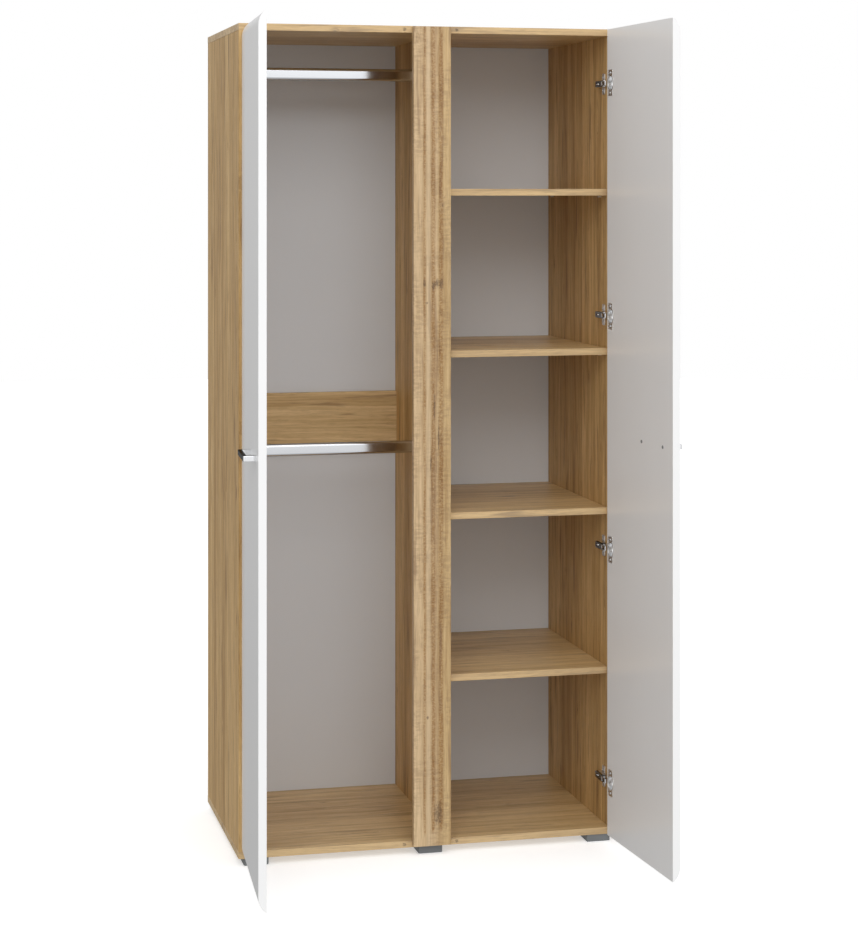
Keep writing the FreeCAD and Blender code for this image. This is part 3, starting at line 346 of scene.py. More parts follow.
def oak_colour(tree, parts, planks=True):
    """The decor's colour, and how open its pores are.

    The place across the grain is bent by slow noise and by the knots. Growth
    rings are a sine of that place. Bands, streaks and fibres are noise at three
    widths, and their sum leads from the light colour to the middle one.
    """
    if planks:
        place, tone, seam = plank_shift(tree, parts)
    else:
        place = node(tree, "CombineXYZ", {0: parts[0], 1: parts[1], 2: parts[2]}).outputs[0]
        tone = 0.5
    knot, halo = knots_at(tree, place)
    at = node(tree, "SeparateXYZ", {0: place})
    warp = noise(tree, stretched(tree, place, 9.0, 9.0, 1.1), detail=2.0)
    bent = calc(tree, "MULTIPLY_ADD", warp, WARP_REACH, at.outputs[0])
    bent = calc(tree, "MULTIPLY_ADD", halo, KNOT_REACH, bent)
    rings = calc(tree, "SINE", share_of(tree, bent, 2 * math.pi / RING_SPACING))
    rings = calc(tree, "MULTIPLY_ADD", rings, 0.5, 0.5)
    flow = node(tree, "CombineXYZ", {0: bent, 1: parts[1], 2: at.outputs[2]}).outputs[0]
    fibres = pattern(tree, flow, 330.0, 9.0, 0.30, 0.70, detail=4.0, rough=0.62)
    bands = pattern(tree, flow, 30.0, 0.9, 0.36, 0.64)
    streaks = pattern(tree, flow, 105.0, 4.2, 0.36, 0.64, rough=0.6)
    heart = pattern(tree, flow, 62.0, 4.6, 0.56, 0.70)
    pores = pattern(tree, flow, 820.0, 34.0, 0.52, 0.66, detail=2.0)
    body = calc(tree, "MULTIPLY_ADD", rings, 0.12, share_of(tree, fibres, 0.26))
    body = calc(tree, "MULTIPLY_ADD", bands, 0.40, body)
    body = calc(tree, "MULTIPLY_ADD", streaks, 0.30, body)
    body = calc(tree, "MULTIPLY_ADD", tone, 0.34, calc(tree, "SUBTRACT", body, 0.20))
    colour = blend_colours(tree, node(tree, "Clamp", {0: body}).outputs[0], OAK_LIGHT, OAK_MID)
    for layer, amount, shade in ((heart, 0.62, OAK_BROWN), (pores, 0.32, OAK_BROWN),
                                 (halo, 0.30, OAK_BROWN), (knot, 0.8, OAK_KNOT)):
        colour = blend_colours(tree, share_of(tree, layer, amount), colour, shade)
    if planks:
        colour = blend_colours(tree, share_of(tree, seam, 0.35), colour, OAK_BROWN)
    return colour, pores, fibres


def oak(name, along, across, planks=True, lift=1.0, rough=0.45, shine=0.30, wash=0.0):
    """An oak decor whose grain runs along one axis, in planks across another."""
    material, tree, shader = new_finish(name)
    colour, pores, fibres = oak_colour(tree, grain_place(tree, along, across), planks)
    lifted = node(tree, "Gamma", {"Color": colour, "Gamma": 1 / lift}).outputs[0]
    lifted = blend_colours(tree, wash, lifted, OAK_WASH)
    tree.links.new(lifted, shader.inputs["Base Color"])
    tree.links.new(calc(tree, "MULTIPLY_ADD", fibres, 0.20, rough), shader.inputs["Roughness"])
    relief = calc(tree, "SUBTRACT", calc(tree, "MULTIPLY", fibres, 0.4), pores)
    bump = node(tree, "Bump", {"Height": relief, "Distance": 0.00012, "Strength": 0.6})
    tree.links.new(bump.outputs[0], shader.inputs["Normal"])
    shader.inputs["Specular IOR Level"].default_value = shine
    return material


OAK_UPRIGHT = oak("oak_upright_grain", "Z", "Y")
# The level boards take a lighter copy of the decor, lift 1.20: painted light, standing in for the
# light from above on the shelf tops; the boards' undersides take it as well.
OAK_LEVEL = oak("oak_level_grain", "X", "Y", lift=1.20, rough=0.30, shine=0.5)
OAK_EDGE = oak("oak_edge_band", "X", "Z", planks=False, lift=0.94, rough=0.42, wash=0.18)
OAK_CROSS = oak("oak_cross_board_grain", "X", "Z", planks=False, lift=1.25, shine=0.3)
print("oak finishes made")

# %% [markdown]
# ## White, metal and plastic
#
# The doors are pressed board under a white gloss foil, so they take a smooth
# white with a thin clear layer and a faint waviness, which bends reflections a
# little. The back is grey-white lacquer on hardboard. Plated parts are metal
# with fine, uneven polish, and the feet are moulded plastic with a fine grain.

# %% Painted finishes
def coated(name, colour, rough, coat, wave, wave_size, mottle=0.02):
    """A smooth coat of paint or foil, with a faint waviness and mottle."""
    material, tree, shader = new_finish(name)
    place = node(tree, "TexCoord").outputs["Object"]
    cloud = noise(tree, place, scale=9.0, detail=3.0)
    darker = tuple(channel * (1 - mottle) for channel in colour[:3]) + (1,)
    tree.links.new(blend_colours(tree, cloud, darker, colour), shader.inputs["Base Color"])
    fine = noise(tree, place, scale=1 / wave_size, detail=2.0)
    bump = node(tree, "Bump", {"Height": fine, "Distance": wave, "Strength": 1.0})
    tree.links.new(bump.outputs[0], shader.inputs["Normal"])
    tree.links.new(calc(tree, "MULTIPLY_ADD", cloud, 0.06, rough), shader.inputs["Roughness"])
    shader.inputs["Coat Weight"].default_value = coat
    shader.inputs["Coat Roughness"].default_value = 0.08
    return material


WHITE_GLOSS = coated("white_gloss_foil", (0.86, 0.86, 0.86, 1), 0.30, 0.25, 0.00003, 0.02, 0.01)
BACK_LACQUER = coated("back_grey_white_lacquer", (0.715, 0.740, 0.775, 1), 0.50, 0.0,
                      0.00005, 0.004)
RAW_HARDBOARD = coated("raw_hardboard", (0.30, 0.185, 0.095, 1), 0.8, 0.0, 0.0002, 0.0015, 0.25)


def metal(name, colour, rough, grain=0.06, scale=260.0, stretch=(1, 1, 1), edge=1.0):
    """Plated metal whose polish varies slightly over the surface."""
    material, tree, shader = new_finish(name)
    place = node(tree, "TexCoord").outputs["Object"]
    marks = noise(tree, stretched(tree, place, *stretch), scale=scale, detail=3.0)
    darker = tuple(channel * 0.93 for channel in colour[:3]) + (1,)
    tree.links.new(blend_colours(tree, marks, darker, colour), shader.inputs["Base Color"])
    tree.links.new(calc(tree, "MULTIPLY_ADD", marks, grain, rough), shader.inputs["Roughness"])
    bump = node(tree, "Bump", {"Height": marks, "Distance": 0.00001, "Strength": 0.5})
    tree.links.new(bump.outputs[0], shader.inputs["Normal"])
    shader.inputs["Metallic"].default_value = 1.0
    # A specular tint below one darkens the metal's reflection towards grazing angles. On the
    # chrome finishes it is painted shade, standing in for the dark reflections along rounded
    # edges, such as the rails' top and bottom.
    shader.inputs["Specular Tint"].default_value = (edge, edge, edge, 1)
    return material


# The chrome finishes darken their reflection at grazing angles: painted shade standing in for dark
# reflections along rounded edges.
CHROME = metal("bright_chrome", (0.90, 0.91, 0.93, 1), 0.05, 0.04, edge=0.05)
RAIL_CHROME = metal("rail_chrome", (0.74, 0.755, 0.78, 1), 0.09, 0.05, 90.0, (0.05, 1, 1),
                    edge=0.12)
NICKEL = metal("nickel_plate", (0.90, 0.91, 0.92, 1), 0.28, 0.12)
ZINC = metal("zinc_plate", (0.60, 0.62, 0.64, 1), 0.34, 0.15)
STEEL_DARK = metal("dark_steel", (0.30, 0.30, 0.31, 1), 0.38, 0.15)


def moulded(name, colour, rough, solid=1.0):
    """Moulded plastic with a fine spark-eroded grain."""
    material, tree, shader = new_finish(name)
    place = node(tree, "TexCoord").outputs["Object"]
    grain = noise(tree, place, scale=1400.0, detail=2.0)
    darker = tuple(channel * 0.85 for channel in colour[:3]) + (1,)
    tree.links.new(blend_colours(tree, grain, darker, colour), shader.inputs["Base Color"])
    tree.links.new(calc(tree, "MULTIPLY_ADD", grain, 0.12, rough), shader.inputs["Roughness"])
    bump = node(tree, "Bump", {"Height": grain, "Distance": 0.00006, "Strength": 0.7})
    tree.links.new(bump.outputs[0], shader.inputs["Normal"])
    shader.inputs["Alpha"].default_value = solid
    return material


FOOT_PLASTIC = moulded("grey_foot_plastic", (0.17, 0.178, 0.18, 1), 0.40)
CLEAR_DOT = moulded("clear_bumper", (0.80, 0.80, 0.78, 1), 0.30, solid=0.04)


def beech(name):
    """Raw fluted beech dowel wood: short flecks along the grain."""
    material, tree, shader = new_finish(name)
    place = node(tree, "TexCoord").outputs["Object"]
    fleck = noise(tree, place, scale=900.0, detail=3.0)
    tree.links.new(blend_colours(tree, fleck, (0.42, 0.27, 0.15, 1), (0.58, 0.42, 0.27, 1)),
                   shader.inputs["Base Color"])
    shader.inputs["Roughness"].default_value = 0.7
    return material


BEECH = beech("raw_beech")
print("finishes made:", len(bpy.data.materials))

# %% [markdown]
# ## Finishes for pieces that keep their own mesh
#
# Small fittings inside the boards and a few plain pieces are right as they are,
# and only take a finish.

# %% Finish the kept nodes
KEPT = {
    "dowels": BEECH,
    "cam_bolts": ZINC,
    "back_panel_nails": ZINC,
    "foot_screws": ZINC,
    "shelf_pins": NICKEL,
}


def finish_nodes(finishes):
    """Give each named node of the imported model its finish."""
    for name, finish in finishes.items():
        mesh = frame["nodes"][name].data
        mesh.materials.clear()
        mesh.materials.append(finish)


finish_nodes(KEPT)
print("kept nodes:", len(KEPT))

# %% [markdown]
# ## Boards
#
# A decor board has a slightly eased edge, about half a millimetre, where the
# edge band meets the face. That tiny round is what draws the fine bright and
# dark lines round real boards, so each board is a rounded block.

# %% Carcass boards
EASED_EDGE = 0.6 * MM
BOARDS = {
    "top_panel": OAK_LEVEL,
    "bottom_panel": OAK_LEVEL,
    "left_side": OAK_UPRIGHT,
    "right_side": OAK_UPRIGHT,
    "divider": OAK_UPRIGHT,
    "back_rail": OAK_CROSS,
    "shelf_1": OAK_LEVEL,
    "shelf_2": OAK_LEVEL,
    "shelf_3": OAK_LEVEL,
    "shelf_4": OAK_LEVEL,
}


def face_normals(piece):
    """The unit normal of each face, as one array."""
    normals = np.empty(len(piece.data.polygons) * 3)
    piece.data.polygons.foreach_get("normal", normals)
    return normals.reshape(-1, 3)


for name, finish in BOARDS.items():
    low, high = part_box(name)
    board = make_piece(name + "_board", rounded_block(low, high, EASED_EDGE), finish, "carcass",
                       [name])
    if finish is OAK_LEVEL:
        board.data.materials.append(OAK_EDGE)
        banded = (np.abs(face_normals(board)[:, 1]) > 0.5).astype(np.int32)
        board.data.polygons.foreach_set("material_index", banded)
print("boards:", len(BOARDS))

# %% Back sheets
for name in ("back_panel_left", "back_panel_right"):
    low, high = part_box(name)
    sheet = make_piece(name + "_sheet", rounded_block(low, high, 0.3 * MM), BACK_LACQUER,
                       "carcass", [name])
    sheet.data.materials.append(RAW_HARDBOARD)
    rear = (face_normals(sheet)[:, 1] > 0.5).astype(np.int32)
    sheet.data.polygons.foreach_set("material_index", rear)
    print(name, "rear faces:", int(rear.sum()))

# %% [markdown]
# ## The carved strip
#
# The strip between the doors is carved with long shallow flutes that wander and
# fade along its height, and stop in points near its foot. It is one grid: each
# row is the section at one height, with the front's depth set by a formula, and
# the carved depth is kept on the points so that the finish can darken the flutes:
# painted shade in the grooves, together with the carved wood's browner tone.

# %% Strip surface
FLUTES = ((-18.5, 3.4, 2.4), (2.5, 5.2, 2.9), (21.0, 6.2, 2.9), (34.0, 3.0, 0.8))
DRIFT, FADE = 0.7, 0.14
STRIP_FOOT = 21.0
STRIP_ROUND = 1.6
FLUTED_HALF = 43.3
FLUTED_DEPTH = 5.0
FULL_CARVE = 3.0
STRIP_COLUMNS = 170
FINE_FOOT = 90.0


def wander(height, seed, length):
    """A slow smooth wave between -1 and 1, different for each seed."""
    first = np.sin(2 * np.pi * height / length + seed * 1.9)
    second = np.sin(2 * np.pi * height / (length * 0.37) + seed * 4.3)
    return 0.65 * first + 0.35 * second


def carved_depth(across, height):
    """Depth of the carving in millimetres, at a place across and up the strip.

    Each flute is a bell-shaped valley. Its middle and its depth wander slowly
    with the height, and near the foot it narrows and fades to a point.
    """
    depth = np.zeros(np.broadcast(across, height).shape)
    for seed, (middle, half, deepest) in enumerate(FLUTES):
        centre = middle + DRIFT * wander(height, seed + 0.7, 170.0)
        strong = deepest * (1 - FADE + FADE * wander(height, seed + 3.1, 310.0))
        foot = np.clip((height - STRIP_FOOT - 3.0 * seed) / 40.0, 0, 1)
        width = half * (0.45 + 0.55 * foot)
        depth += strong * np.minimum(1, 3 * foot) * np.exp(-((across - centre) / width) ** 2)
    plain = np.clip((np.abs(across) - 28.0) / 17.0, 0, 1)
    return depth + 0.5 * plain**2


def carved_strip(node_name):
    """The strip as rings: a carved front, round front edges and a flat back."""
    low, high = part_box(node_name)
    half, tall = (high.x - low.x) / 2 / MM, (high.z - low.z) / MM
    thick = (high.y - low.y) / MM
    across = np.linspace(-half + STRIP_ROUND, half - STRIP_ROUND, STRIP_COLUMNS)
    height = np.unique(np.concatenate([np.linspace(0, FINE_FOOT, 60),
                                       np.linspace(FINE_FOOT, tall, 300)]))
    front = carved_depth(across[None, :], height[:, None])
    corner = np.linspace(0, np.pi / 2, 5)[1:-1]
    rings = np.empty((len(height), len(across) + 2 * len(corner) + 4, 3))
    right = (half - STRIP_ROUND + STRIP_ROUND * np.sin(corner),
             front[:, -1:] + STRIP_ROUND * (1 - np.cos(corner)))
    left = (-half + STRIP_ROUND - STRIP_ROUND * np.cos(corner),
            front[:, :1] + STRIP_ROUND * (1 - np.sin(corner)))
    flat = np.array([half, half, -half, -half])
    back = np.array([STRIP_ROUND + 0.5, thick, thick, STRIP_ROUND + 0.5])
    x = np.concatenate([across, right[0], flat, left[0]])
    y = np.concatenate([front, right[1], np.tile(back, (len(height), 1)), left[1]], axis=1)
    rings[..., 0] = x * MM + (low.x + high.x) / 2
    rings[..., 1] = y * MM + low.y
    rings[..., 2] = (height * MM + low.z)[:, None]
    return closed_grid(rings)


# %% Strip finish
# Painted shade and tone: the flutes are darkened by their carved depth, standing in for the shade
# in the grooves as well as the browner carved wood.
FLUTE_SHADE_AND_TONE = (0.60, 0.45, 0.25, 1)
# Painted highlight: a pale colour laid along the raised edge between the first two flutes, where
# the light catches it.
RIDGE_PAINTED_HIGHLIGHT = (0.800, 0.640, 0.420, 1)
RIDGE = -10.0 * MM
LEFT_TINT = (0.88, 0.88, 0.97, 1)
RIGHT_TINT = (0.83, 0.81, 0.77, 1)
KNOTS = ((-18.0, 1322.0, 5.0, 14.0), (3.0, 1316.0, 7.0, 16.0), (12.0, 1322.0, 6.0, 13.0),
         (21.0, 1320.0, 7.0, 16.0),
         (-14.0, 1276.0, 4.0, 4.0), (14.0, 75.0, 14.0, 36.0), (-12.0, 302.0, 4.0, 5.0),
         (5.0, 1030.0, 3.0, 45.0), (15.0, 960.0, 3.0, 60.0), (-4.0, 905.0, 2.5, 40.0))


def band(tree, value, middle, low, high):
    """One at a middle, falling to nothing between two distances from it."""
    away = calc(tree, "ABSOLUTE", calc(tree, "SUBTRACT", value, middle))
    return falling(tree, away, low, high)


def oak_strip(name, foot):
    """The strip's oak: rippled figure, darker flutes and knots at set places.

    The flutes are darkened by a brown that follows the carved depth: painted
    shade in the grooves, together with the carved wood's browner tone, broken up
    by a short grain. A pale band beside the first flute is a painted highlight.
    Each knot is an oval: its squared distance from a set place, in its own widths,
    with a ragged edge.
    """
    material, tree, shader = new_finish(name)
    across, thick, along = grain_place(tree, "Z", "X")
    colour, _, fibres = oak_colour(tree, (across, thick, along), planks=False)
    place = node(tree, "CombineXYZ", {0: across, 1: thick, 2: along}).outputs[0]
    carved = node(tree, "Attribute", attribute_name="carved").outputs["Fac"]
    colour = node(tree, "Gamma", {"Color": colour, "Gamma": 0.80}).outputs[0]
    ripple = noise(tree, stretched(tree, place, 60.0, 60.0, 210.0), detail=3.0)
    figure = calc(tree, "MULTIPLY", step_up(tree, ripple, 0.42, 0.60),
                  pattern(tree, place, 24.0, 8.0, 0.38, 0.58))
    colour = blend_colours(tree, share_of(tree, figure, 0.26), colour, OAK_BROWN)
    tint = blend_colours(tree, step_up(tree, across, 0.0, 0.030), LEFT_TINT, RIGHT_TINT)
    colour = blend_colours(tree, 1.0, colour, tint, "MULTIPLY")
    heart = band(tree, across, 8.0 * MM, 0.016, 0.026)
    colour = blend_colours(tree, share_of(tree, heart, 0.08), colour, OAK_BROWN)
    # Painted highlight: a narrow pale band along the ridge between the first two flutes.
    ridge = band(tree, across, RIDGE, 0.002, 0.007)
    colour = blend_colours(tree, share_of(tree, ridge, 0.26), colour, RIDGE_PAINTED_HIGHLIGHT)
    grain = pattern(tree, place, 190.0, 260.0, 0.38, 0.60)
    slow = pattern(tree, place, 30.0, 7.0, 0.35, 0.65)
    broken = calc(tree, "MULTIPLY_ADD", slow, 0.30, calc(tree, "MULTIPLY_ADD", grain, 0.62, 0.12))
    # Painted shade: the brown deepens with the carved depth, as the shade in the grooves would,
    # together with the wood's browner tone.
    flute_shade_and_tone = calc(tree, "MULTIPLY", step_up(tree, carved, 0.08, 0.75), broken)
    colour = blend_colours(tree, flute_shade_and_tone, colour, FLUTE_SHADE_AND_TONE, "MULTIPLY")
    ragged = pattern(tree, place, 260.0, 160.0, 0.2, 0.8, detail=2.0)
    for x, z, wide, tall in KNOTS:
        away_x = calc(tree, "DIVIDE", calc(tree, "SUBTRACT", across, x * MM), wide * MM)
        away_z = calc(tree, "DIVIDE", calc(tree, "SUBTRACT", along, foot + z * MM), tall * MM)
        away = calc(tree, "ADD", calc(tree, "MULTIPLY", away_x, away_x),
                    calc(tree, "MULTIPLY", away_z, away_z))
        away = calc(tree, "MULTIPLY_ADD", ragged, 0.9, away)
        spot = falling(tree, away, 0.35, 1.3)
        colour = blend_colours(tree, share_of(tree, spot, 0.66), colour, OAK_KNOT)
    tree.links.new(colour, shader.inputs["Base Color"])
    tree.links.new(calc(tree, "MULTIPLY_ADD", ripple, 0.15, 0.34), shader.inputs["Roughness"])
    relief = calc(tree, "MULTIPLY_ADD", figure, -0.8, share_of(tree, fibres, 0.4))
    bump = node(tree, "Bump", {"Height": relief, "Distance": 0.00035, "Strength": 0.7})
    tree.links.new(bump.outputs[0], shader.inputs["Normal"])
    shader.inputs["Specular IOR Level"].default_value = 0.5
    return material


print("knots:", len(KNOTS))

# %% The strip
strip_low, strip_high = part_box("centre_strip")
strip = make_piece("carved_centre_strip", carved_strip("centre_strip"),
                   oak_strip("oak_carved_strip", strip_low.z), "carcass",
                   ["centre_strip"])
carved = strip.data.attributes.new("carved", "FLOAT", "POINT")
points = np.empty(len(strip.data.vertices) * 3)
strip.data.vertices.foreach_get("co", points)
points = points.reshape(-1, 3)
front_depth = (points[:, 1] - strip_low.y) / MM
is_front = np.abs(points[:, 0] - (strip_low.x + strip_high.x) / 2) < FLUTED_HALF * MM
share = np.where(is_front & (front_depth < FLUTED_DEPTH), front_depth / FULL_CARVE, 0)
carved.data.foreach_set("value", share.astype(np.float32))
print("strip points:", len(points))

# %% [markdown]
# ## Where things sit on a side
#
# The two sides mirror each other, so each fitting is worked out once from the
# side's own landmarks: the joint's axis for the door, the plates' box for the
# hinge heights, and the inner face of the carcass side. The door's fittings
# are laid out with the door closed and then turned about the joint's axis by the
# angle at which it rests open.

# %% Side landmarks
JOINTS = {joint["name"]: joint for joint in frame["joints"]}
SIDES = ("left", "right")


def hand_of(side):
    """Which way a side lies from the middle: 1 to the right, -1 to the left."""
    return 1 if side == "right" else -1


def axis_of(side):
    """The door's upright axis in millimetres."""
    return np.array(JOINTS[side + "_door_hinge"]["pos_m"], float) / MM


def open_angle(side):
    """Radians that the door has turned from closed to its rest: the joint's way back."""
    low, high = JOINTS[side + "_door_hinge"]["range_deg"]
    return math.radians(-high if side == "left" else -low)


def opened(side, points):
    """Turn closed-door points about the door's upright axis to the rest pose."""
    points = np.asarray(points, float)
    pivot = np.array(JOINTS[side + "_door_hinge"]["pos_m"], float)
    angle = open_angle(side)
    turn = np.array([[math.cos(angle), -math.sin(angle), 0],
                     [math.sin(angle), math.cos(angle), 0], [0, 0, 1]])
    return (points - pivot) @ turn.T + pivot


for side in SIDES:
    hinge = JOINTS[side + "_door_hinge"]
    print(side, "pivot", hinge["pos_m"], "range", hinge["range_deg"],
          "closed to rest", round(math.degrees(open_angle(side)), 2))

# %% [markdown]
# ## Doors
#
# Each door is a slab with square inner edges and outer faces that roll back in
# a large arc at the top and the bottom. The outline of that section is carried
# across the door's width, and its ends are eased. The inner face is filled as a
# flat sheet with four round holes, and each hole gets the wall and floor of the
# bore that a hinge cup is pressed into.

# %% Section and easing helpers
def outline_normals(outline):
    """Outward unit normals of a closed outline that runs anticlockwise."""
    before = outline - np.roll(outline, 1, axis=0)
    after = np.roll(outline, -1, axis=0) - outline
    before /= np.linalg.norm(before, axis=1)[:, None]
    after /= np.linalg.norm(after, axis=1)[:, None]
    along = before + after
    along /= np.linalg.norm(along, axis=1)[:, None]
    return np.stack([along[:, 1], -along[:, 0]], axis=1)


def eased_rings(outline, low, high, ease, steps=3):
    """An outline carried from low to high, drawn in by a quarter round at each end."""
    outline = np.asarray(outline, float)
    spin = outline[:, 0] @ np.roll(outline[:, 1], -1) - outline[:, 1] @ np.roll(outline[:, 0], -1)
    outline = outline if spin > 0 else outline[::-1]
    angle = np.linspace(0, np.pi / 2, steps + 1)
    inset = ease * (1 - np.sin(angle))
    rise = ease * (1 - np.cos(angle))
    insets = np.concatenate([inset, inset[::-1]])
    heights = np.concatenate([low + rise, high - rise[::-1]])
    drawn = outline[None] - insets[:, None, None] * outline_normals(outline)[None]
    return drawn, heights


def eased_slab(outline, low, high, ease, order=(0, 1, 2), steps=3):
    """A closed slab of an outline. order says which axis takes a, b and the height."""
    drawn, heights = eased_rings(outline, low, high, ease, steps)
    rings = np.empty(drawn.shape[:2] + (3,))
    rings[..., order[0]] = drawn[..., 0]
    rings[..., order[1]] = drawn[..., 1]
    rings[..., order[2]] = heights[:, None]
    return closed_grid(rings)


# %% Door sizes
DOOR_THICK = 18.0
DOOR_WIDTH = 407.5
HINGE_EDGE = 6.9
FACE_BEHIND_AXIS = 16.0
ROLL_RISE = 31.0
ROLL_RADIUS = 38.0
DOOR_EASE = 0.7
CUP_RADIUS = 17.5
CUP_DEPTH = 13.0
CUP_INSET = 22.5


def hinge_heights(side):
    """The middle height in millimetres of each cup on a side, lowest first."""
    boxes = [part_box(f"{side}_hinge_cup_{number}") for number in range(1, 5)]
    return [(low.z + high.z) / 2 / MM for low, high in boxes]


def roll_arc(start, end, radius, steps=9):
    """The outward arc of a radius between two points, on the right of the way."""
    start, end = np.array(start, float), np.array(end, float)
    chord = end - start
    half = np.linalg.norm(chord) / 2
    across = np.array([chord[1], -chord[0]]) / (2 * half)
    centre = (start + end) / 2 - across * math.sqrt(radius**2 - half**2)
    first = math.atan2(*(start - centre)[::-1])
    last = math.atan2(*(end - centre)[::-1])
    last += 2 * math.pi if last < first else 0
    angle = np.linspace(first, last, steps)
    return centre + radius * np.stack([np.cos(angle), np.sin(angle)], axis=1)


# %% Door surface
def door_shell(side):
    """A closed door in millimetres, hinge edge by its axis, then turned open.

    The section runs anticlockwise in depth and height: up the inner face, over
    the upper roll, down the outer face and round the lower roll. The quad that
    makes the inner face is taken out, and a sheet with four round holes is
    fitted into its place.
    """
    hand = hand_of(side)
    low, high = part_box(side + "_door")
    pivot = axis_of(side)
    bottom, top = low.z / MM, high.z / MM
    inner, outer = FACE_BEHIND_AXIS, FACE_BEHIND_AXIS - DOOR_THICK
    ease = DOOR_EASE
    upper = roll_arc((inner, top), (outer, top - ROLL_RISE), ROLL_RADIUS)
    lower = roll_arc((outer, bottom + ROLL_RISE), (inner, bottom), ROLL_RADIUS)
    outline = np.concatenate([[(inner, bottom + 1.2), (inner, top - 1.2)], upper[1:-1],
                              [(outer, top - ROLL_RISE), (outer, bottom + ROLL_RISE)],
                              lower[1:-1]])
    start, end = HINGE_EDGE, HINGE_EDGE - DOOR_WIDTH
    drawn, stations = eased_rings(outline, end, start, ease)
    rings = np.empty(drawn.shape[:2] + (3,))
    rings[..., 0] = stations[:, None]
    rings[..., 1:] = drawn
    points, faces = closed_grid(rings)
    middle = len(stations) // 2 - 1
    columns = drawn.shape[1]
    flat = np.isclose(drawn[middle, :, 0], inner)
    lift = drawn[middle, :, 1]
    pair = {int(np.where(flat & (lift < (top + bottom) / 2))[0][0]),
            int(np.where(flat & (lift > (top + bottom) / 2))[0][0])}
    kept = [face for face in faces
            if not (len(face) == 4 and {index % columns for index in face} == pair
                    and {index // columns for index in face} == {middle, middle + 1})]
    corners = [face for face in faces if face not in kept][0]
    sheet = [[Vector(points[index]) for index in corners]]
    angle = np.linspace(0, 2 * np.pi, 40, endpoint=False)
    shells = [(points, kept)]
    cup_x = start - CUP_INSET
    for height in hinge_heights(side):
        rim = np.stack([cup_x + CUP_RADIUS * np.cos(angle), np.full(40, inner),
                        height + CUP_RADIUS * np.sin(angle)], axis=1)
        sheet.append([Vector(point) for point in rim])
        floor = rim - np.array([0, CUP_DEPTH, 0])
        wall = np.stack([rim, floor])
        shells.append((wall.reshape(-1, 3), grid_faces(2, 40) + [list(range(40, 80))]))
    filled = [list(face) for face in geometry.tessellate_polygon(sheet)]
    shells.append(([point for loop in sheet for point in loop], filled))
    points, faces = join(shells)
    points[:, 0] *= hand
    return opened(side, (points + pivot * np.array([1, 1, 0])) * MM), faces


for side in SIDES:
    door = make_piece(side + "_gloss_door", door_shell(side), WHITE_GLOSS, side + "_door",
                      [side + "_door"], sharp=35)
    print(door.name, "points:", len(door.data.vertices))

# %% [markdown]
# ## Handles
#
# A handle is a flat bar bent into a bow. Seen from above it is a U, so its plan
# outline is drawn with small outer and inner corner rounds and carried up by
# the bar's height, with eased edges that catch the light.

# %% Handles
HANDLE_LEGS = (221.0, 349.0)
HANDLE_REACH = 28.0
HANDLE_BAR = 9.0
HANDLE_EASE = 0.9

for side in SIDES:
    hand = hand_of(side)
    low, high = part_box(side + "_handle")
    pivot = axis_of(side)
    near = HINGE_EDGE - HANDLE_LEGS[0] + HANDLE_BAR / 2
    far = HINGE_EDGE - HANDLE_LEGS[1] - HANDLE_BAR / 2
    face = FACE_BEHIND_AXIS - DOOR_THICK
    tip = face - HANDLE_REACH
    corners = [(near, face), (near, tip), (far, tip), (far, face), (far + HANDLE_BAR, face),
               (far + HANDLE_BAR, tip + HANDLE_BAR), (near - HANDLE_BAR, tip + HANDLE_BAR),
               (near - HANDLE_BAR, face)]
    outline = rounded_outline(corners, (0, 2.6, 2.6, 0, 0, 2.0, 2.0, 0))
    points, faces = eased_slab(outline, low.z / MM, high.z / MM, HANDLE_EASE)
    points = points * np.array([hand, 1, 1]) + pivot * np.array([1, 1, 0])
    make_piece(side + "_bow_handle", (opened(side, points * MM), faces), CHROME,
               side + "_door", [side + "_handle"], sharp=60)
    print(side, "handle plan points:", len(outline))

# %% [markdown]
# ## Hanging rails
#
# The rails are oval steel tube. The tube's section is two half circles joined
# by straight sides. It is carried along the rail outside and back inside, so the
# tube is a true closed wall and shows its thickness at a cut end.

# %% Rails
TUBE_WALL = 1.2


def oval(high, wide, around=48):
    """Points round a section of two half circles joined by straight sides."""
    angle = np.linspace(0, 2 * np.pi, around, endpoint=False)
    radius = wide / 2
    lift = np.where(np.sin(angle) >= 0, high / 2 - radius, radius - high / 2)
    return np.stack([radius * np.cos(angle), radius * np.sin(angle) + lift], axis=1)


for name in ("hanging_rail_lower", "hanging_rail_upper"):
    low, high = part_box(name)
    size, middle = (high - low) / MM, (high + low) / 2 / MM
    outside = oval(size.z, size.y)
    inside = oval(size.z - 2 * TUBE_WALL, size.y - 2 * TUBE_WALL)
    loops = [(outside, low.x), (outside, high.x), (inside, high.x), (inside, low.x)]
    rings = np.array([np.column_stack([np.full(len(loop), x / MM), loop + (middle.y, middle.z)])
                      for loop, x in loops])
    rings = np.concatenate([rings, rings[:1]])
    make_piece(name + "_tube", (rings.reshape(-1, 3) * MM, grid_faces(5, len(outside))),
               RAIL_CHROME, "carcass", [name])
    print(name, "length", round((high.x - low.x), 4))

# %% [markdown]
# ## Feet
#
# Each foot is a low moulded block screwed under the bottom board. Its plan is a
# square with small rounds. The section narrows a little at the floor, and a
# round well in the sole takes the screw.

# %% Feet
FOOT_ROUND = 3.0
FOOT_CHAMFER = 1.4
WELL_RADIUS = 8.0
WELL_DEPTH = 12.0


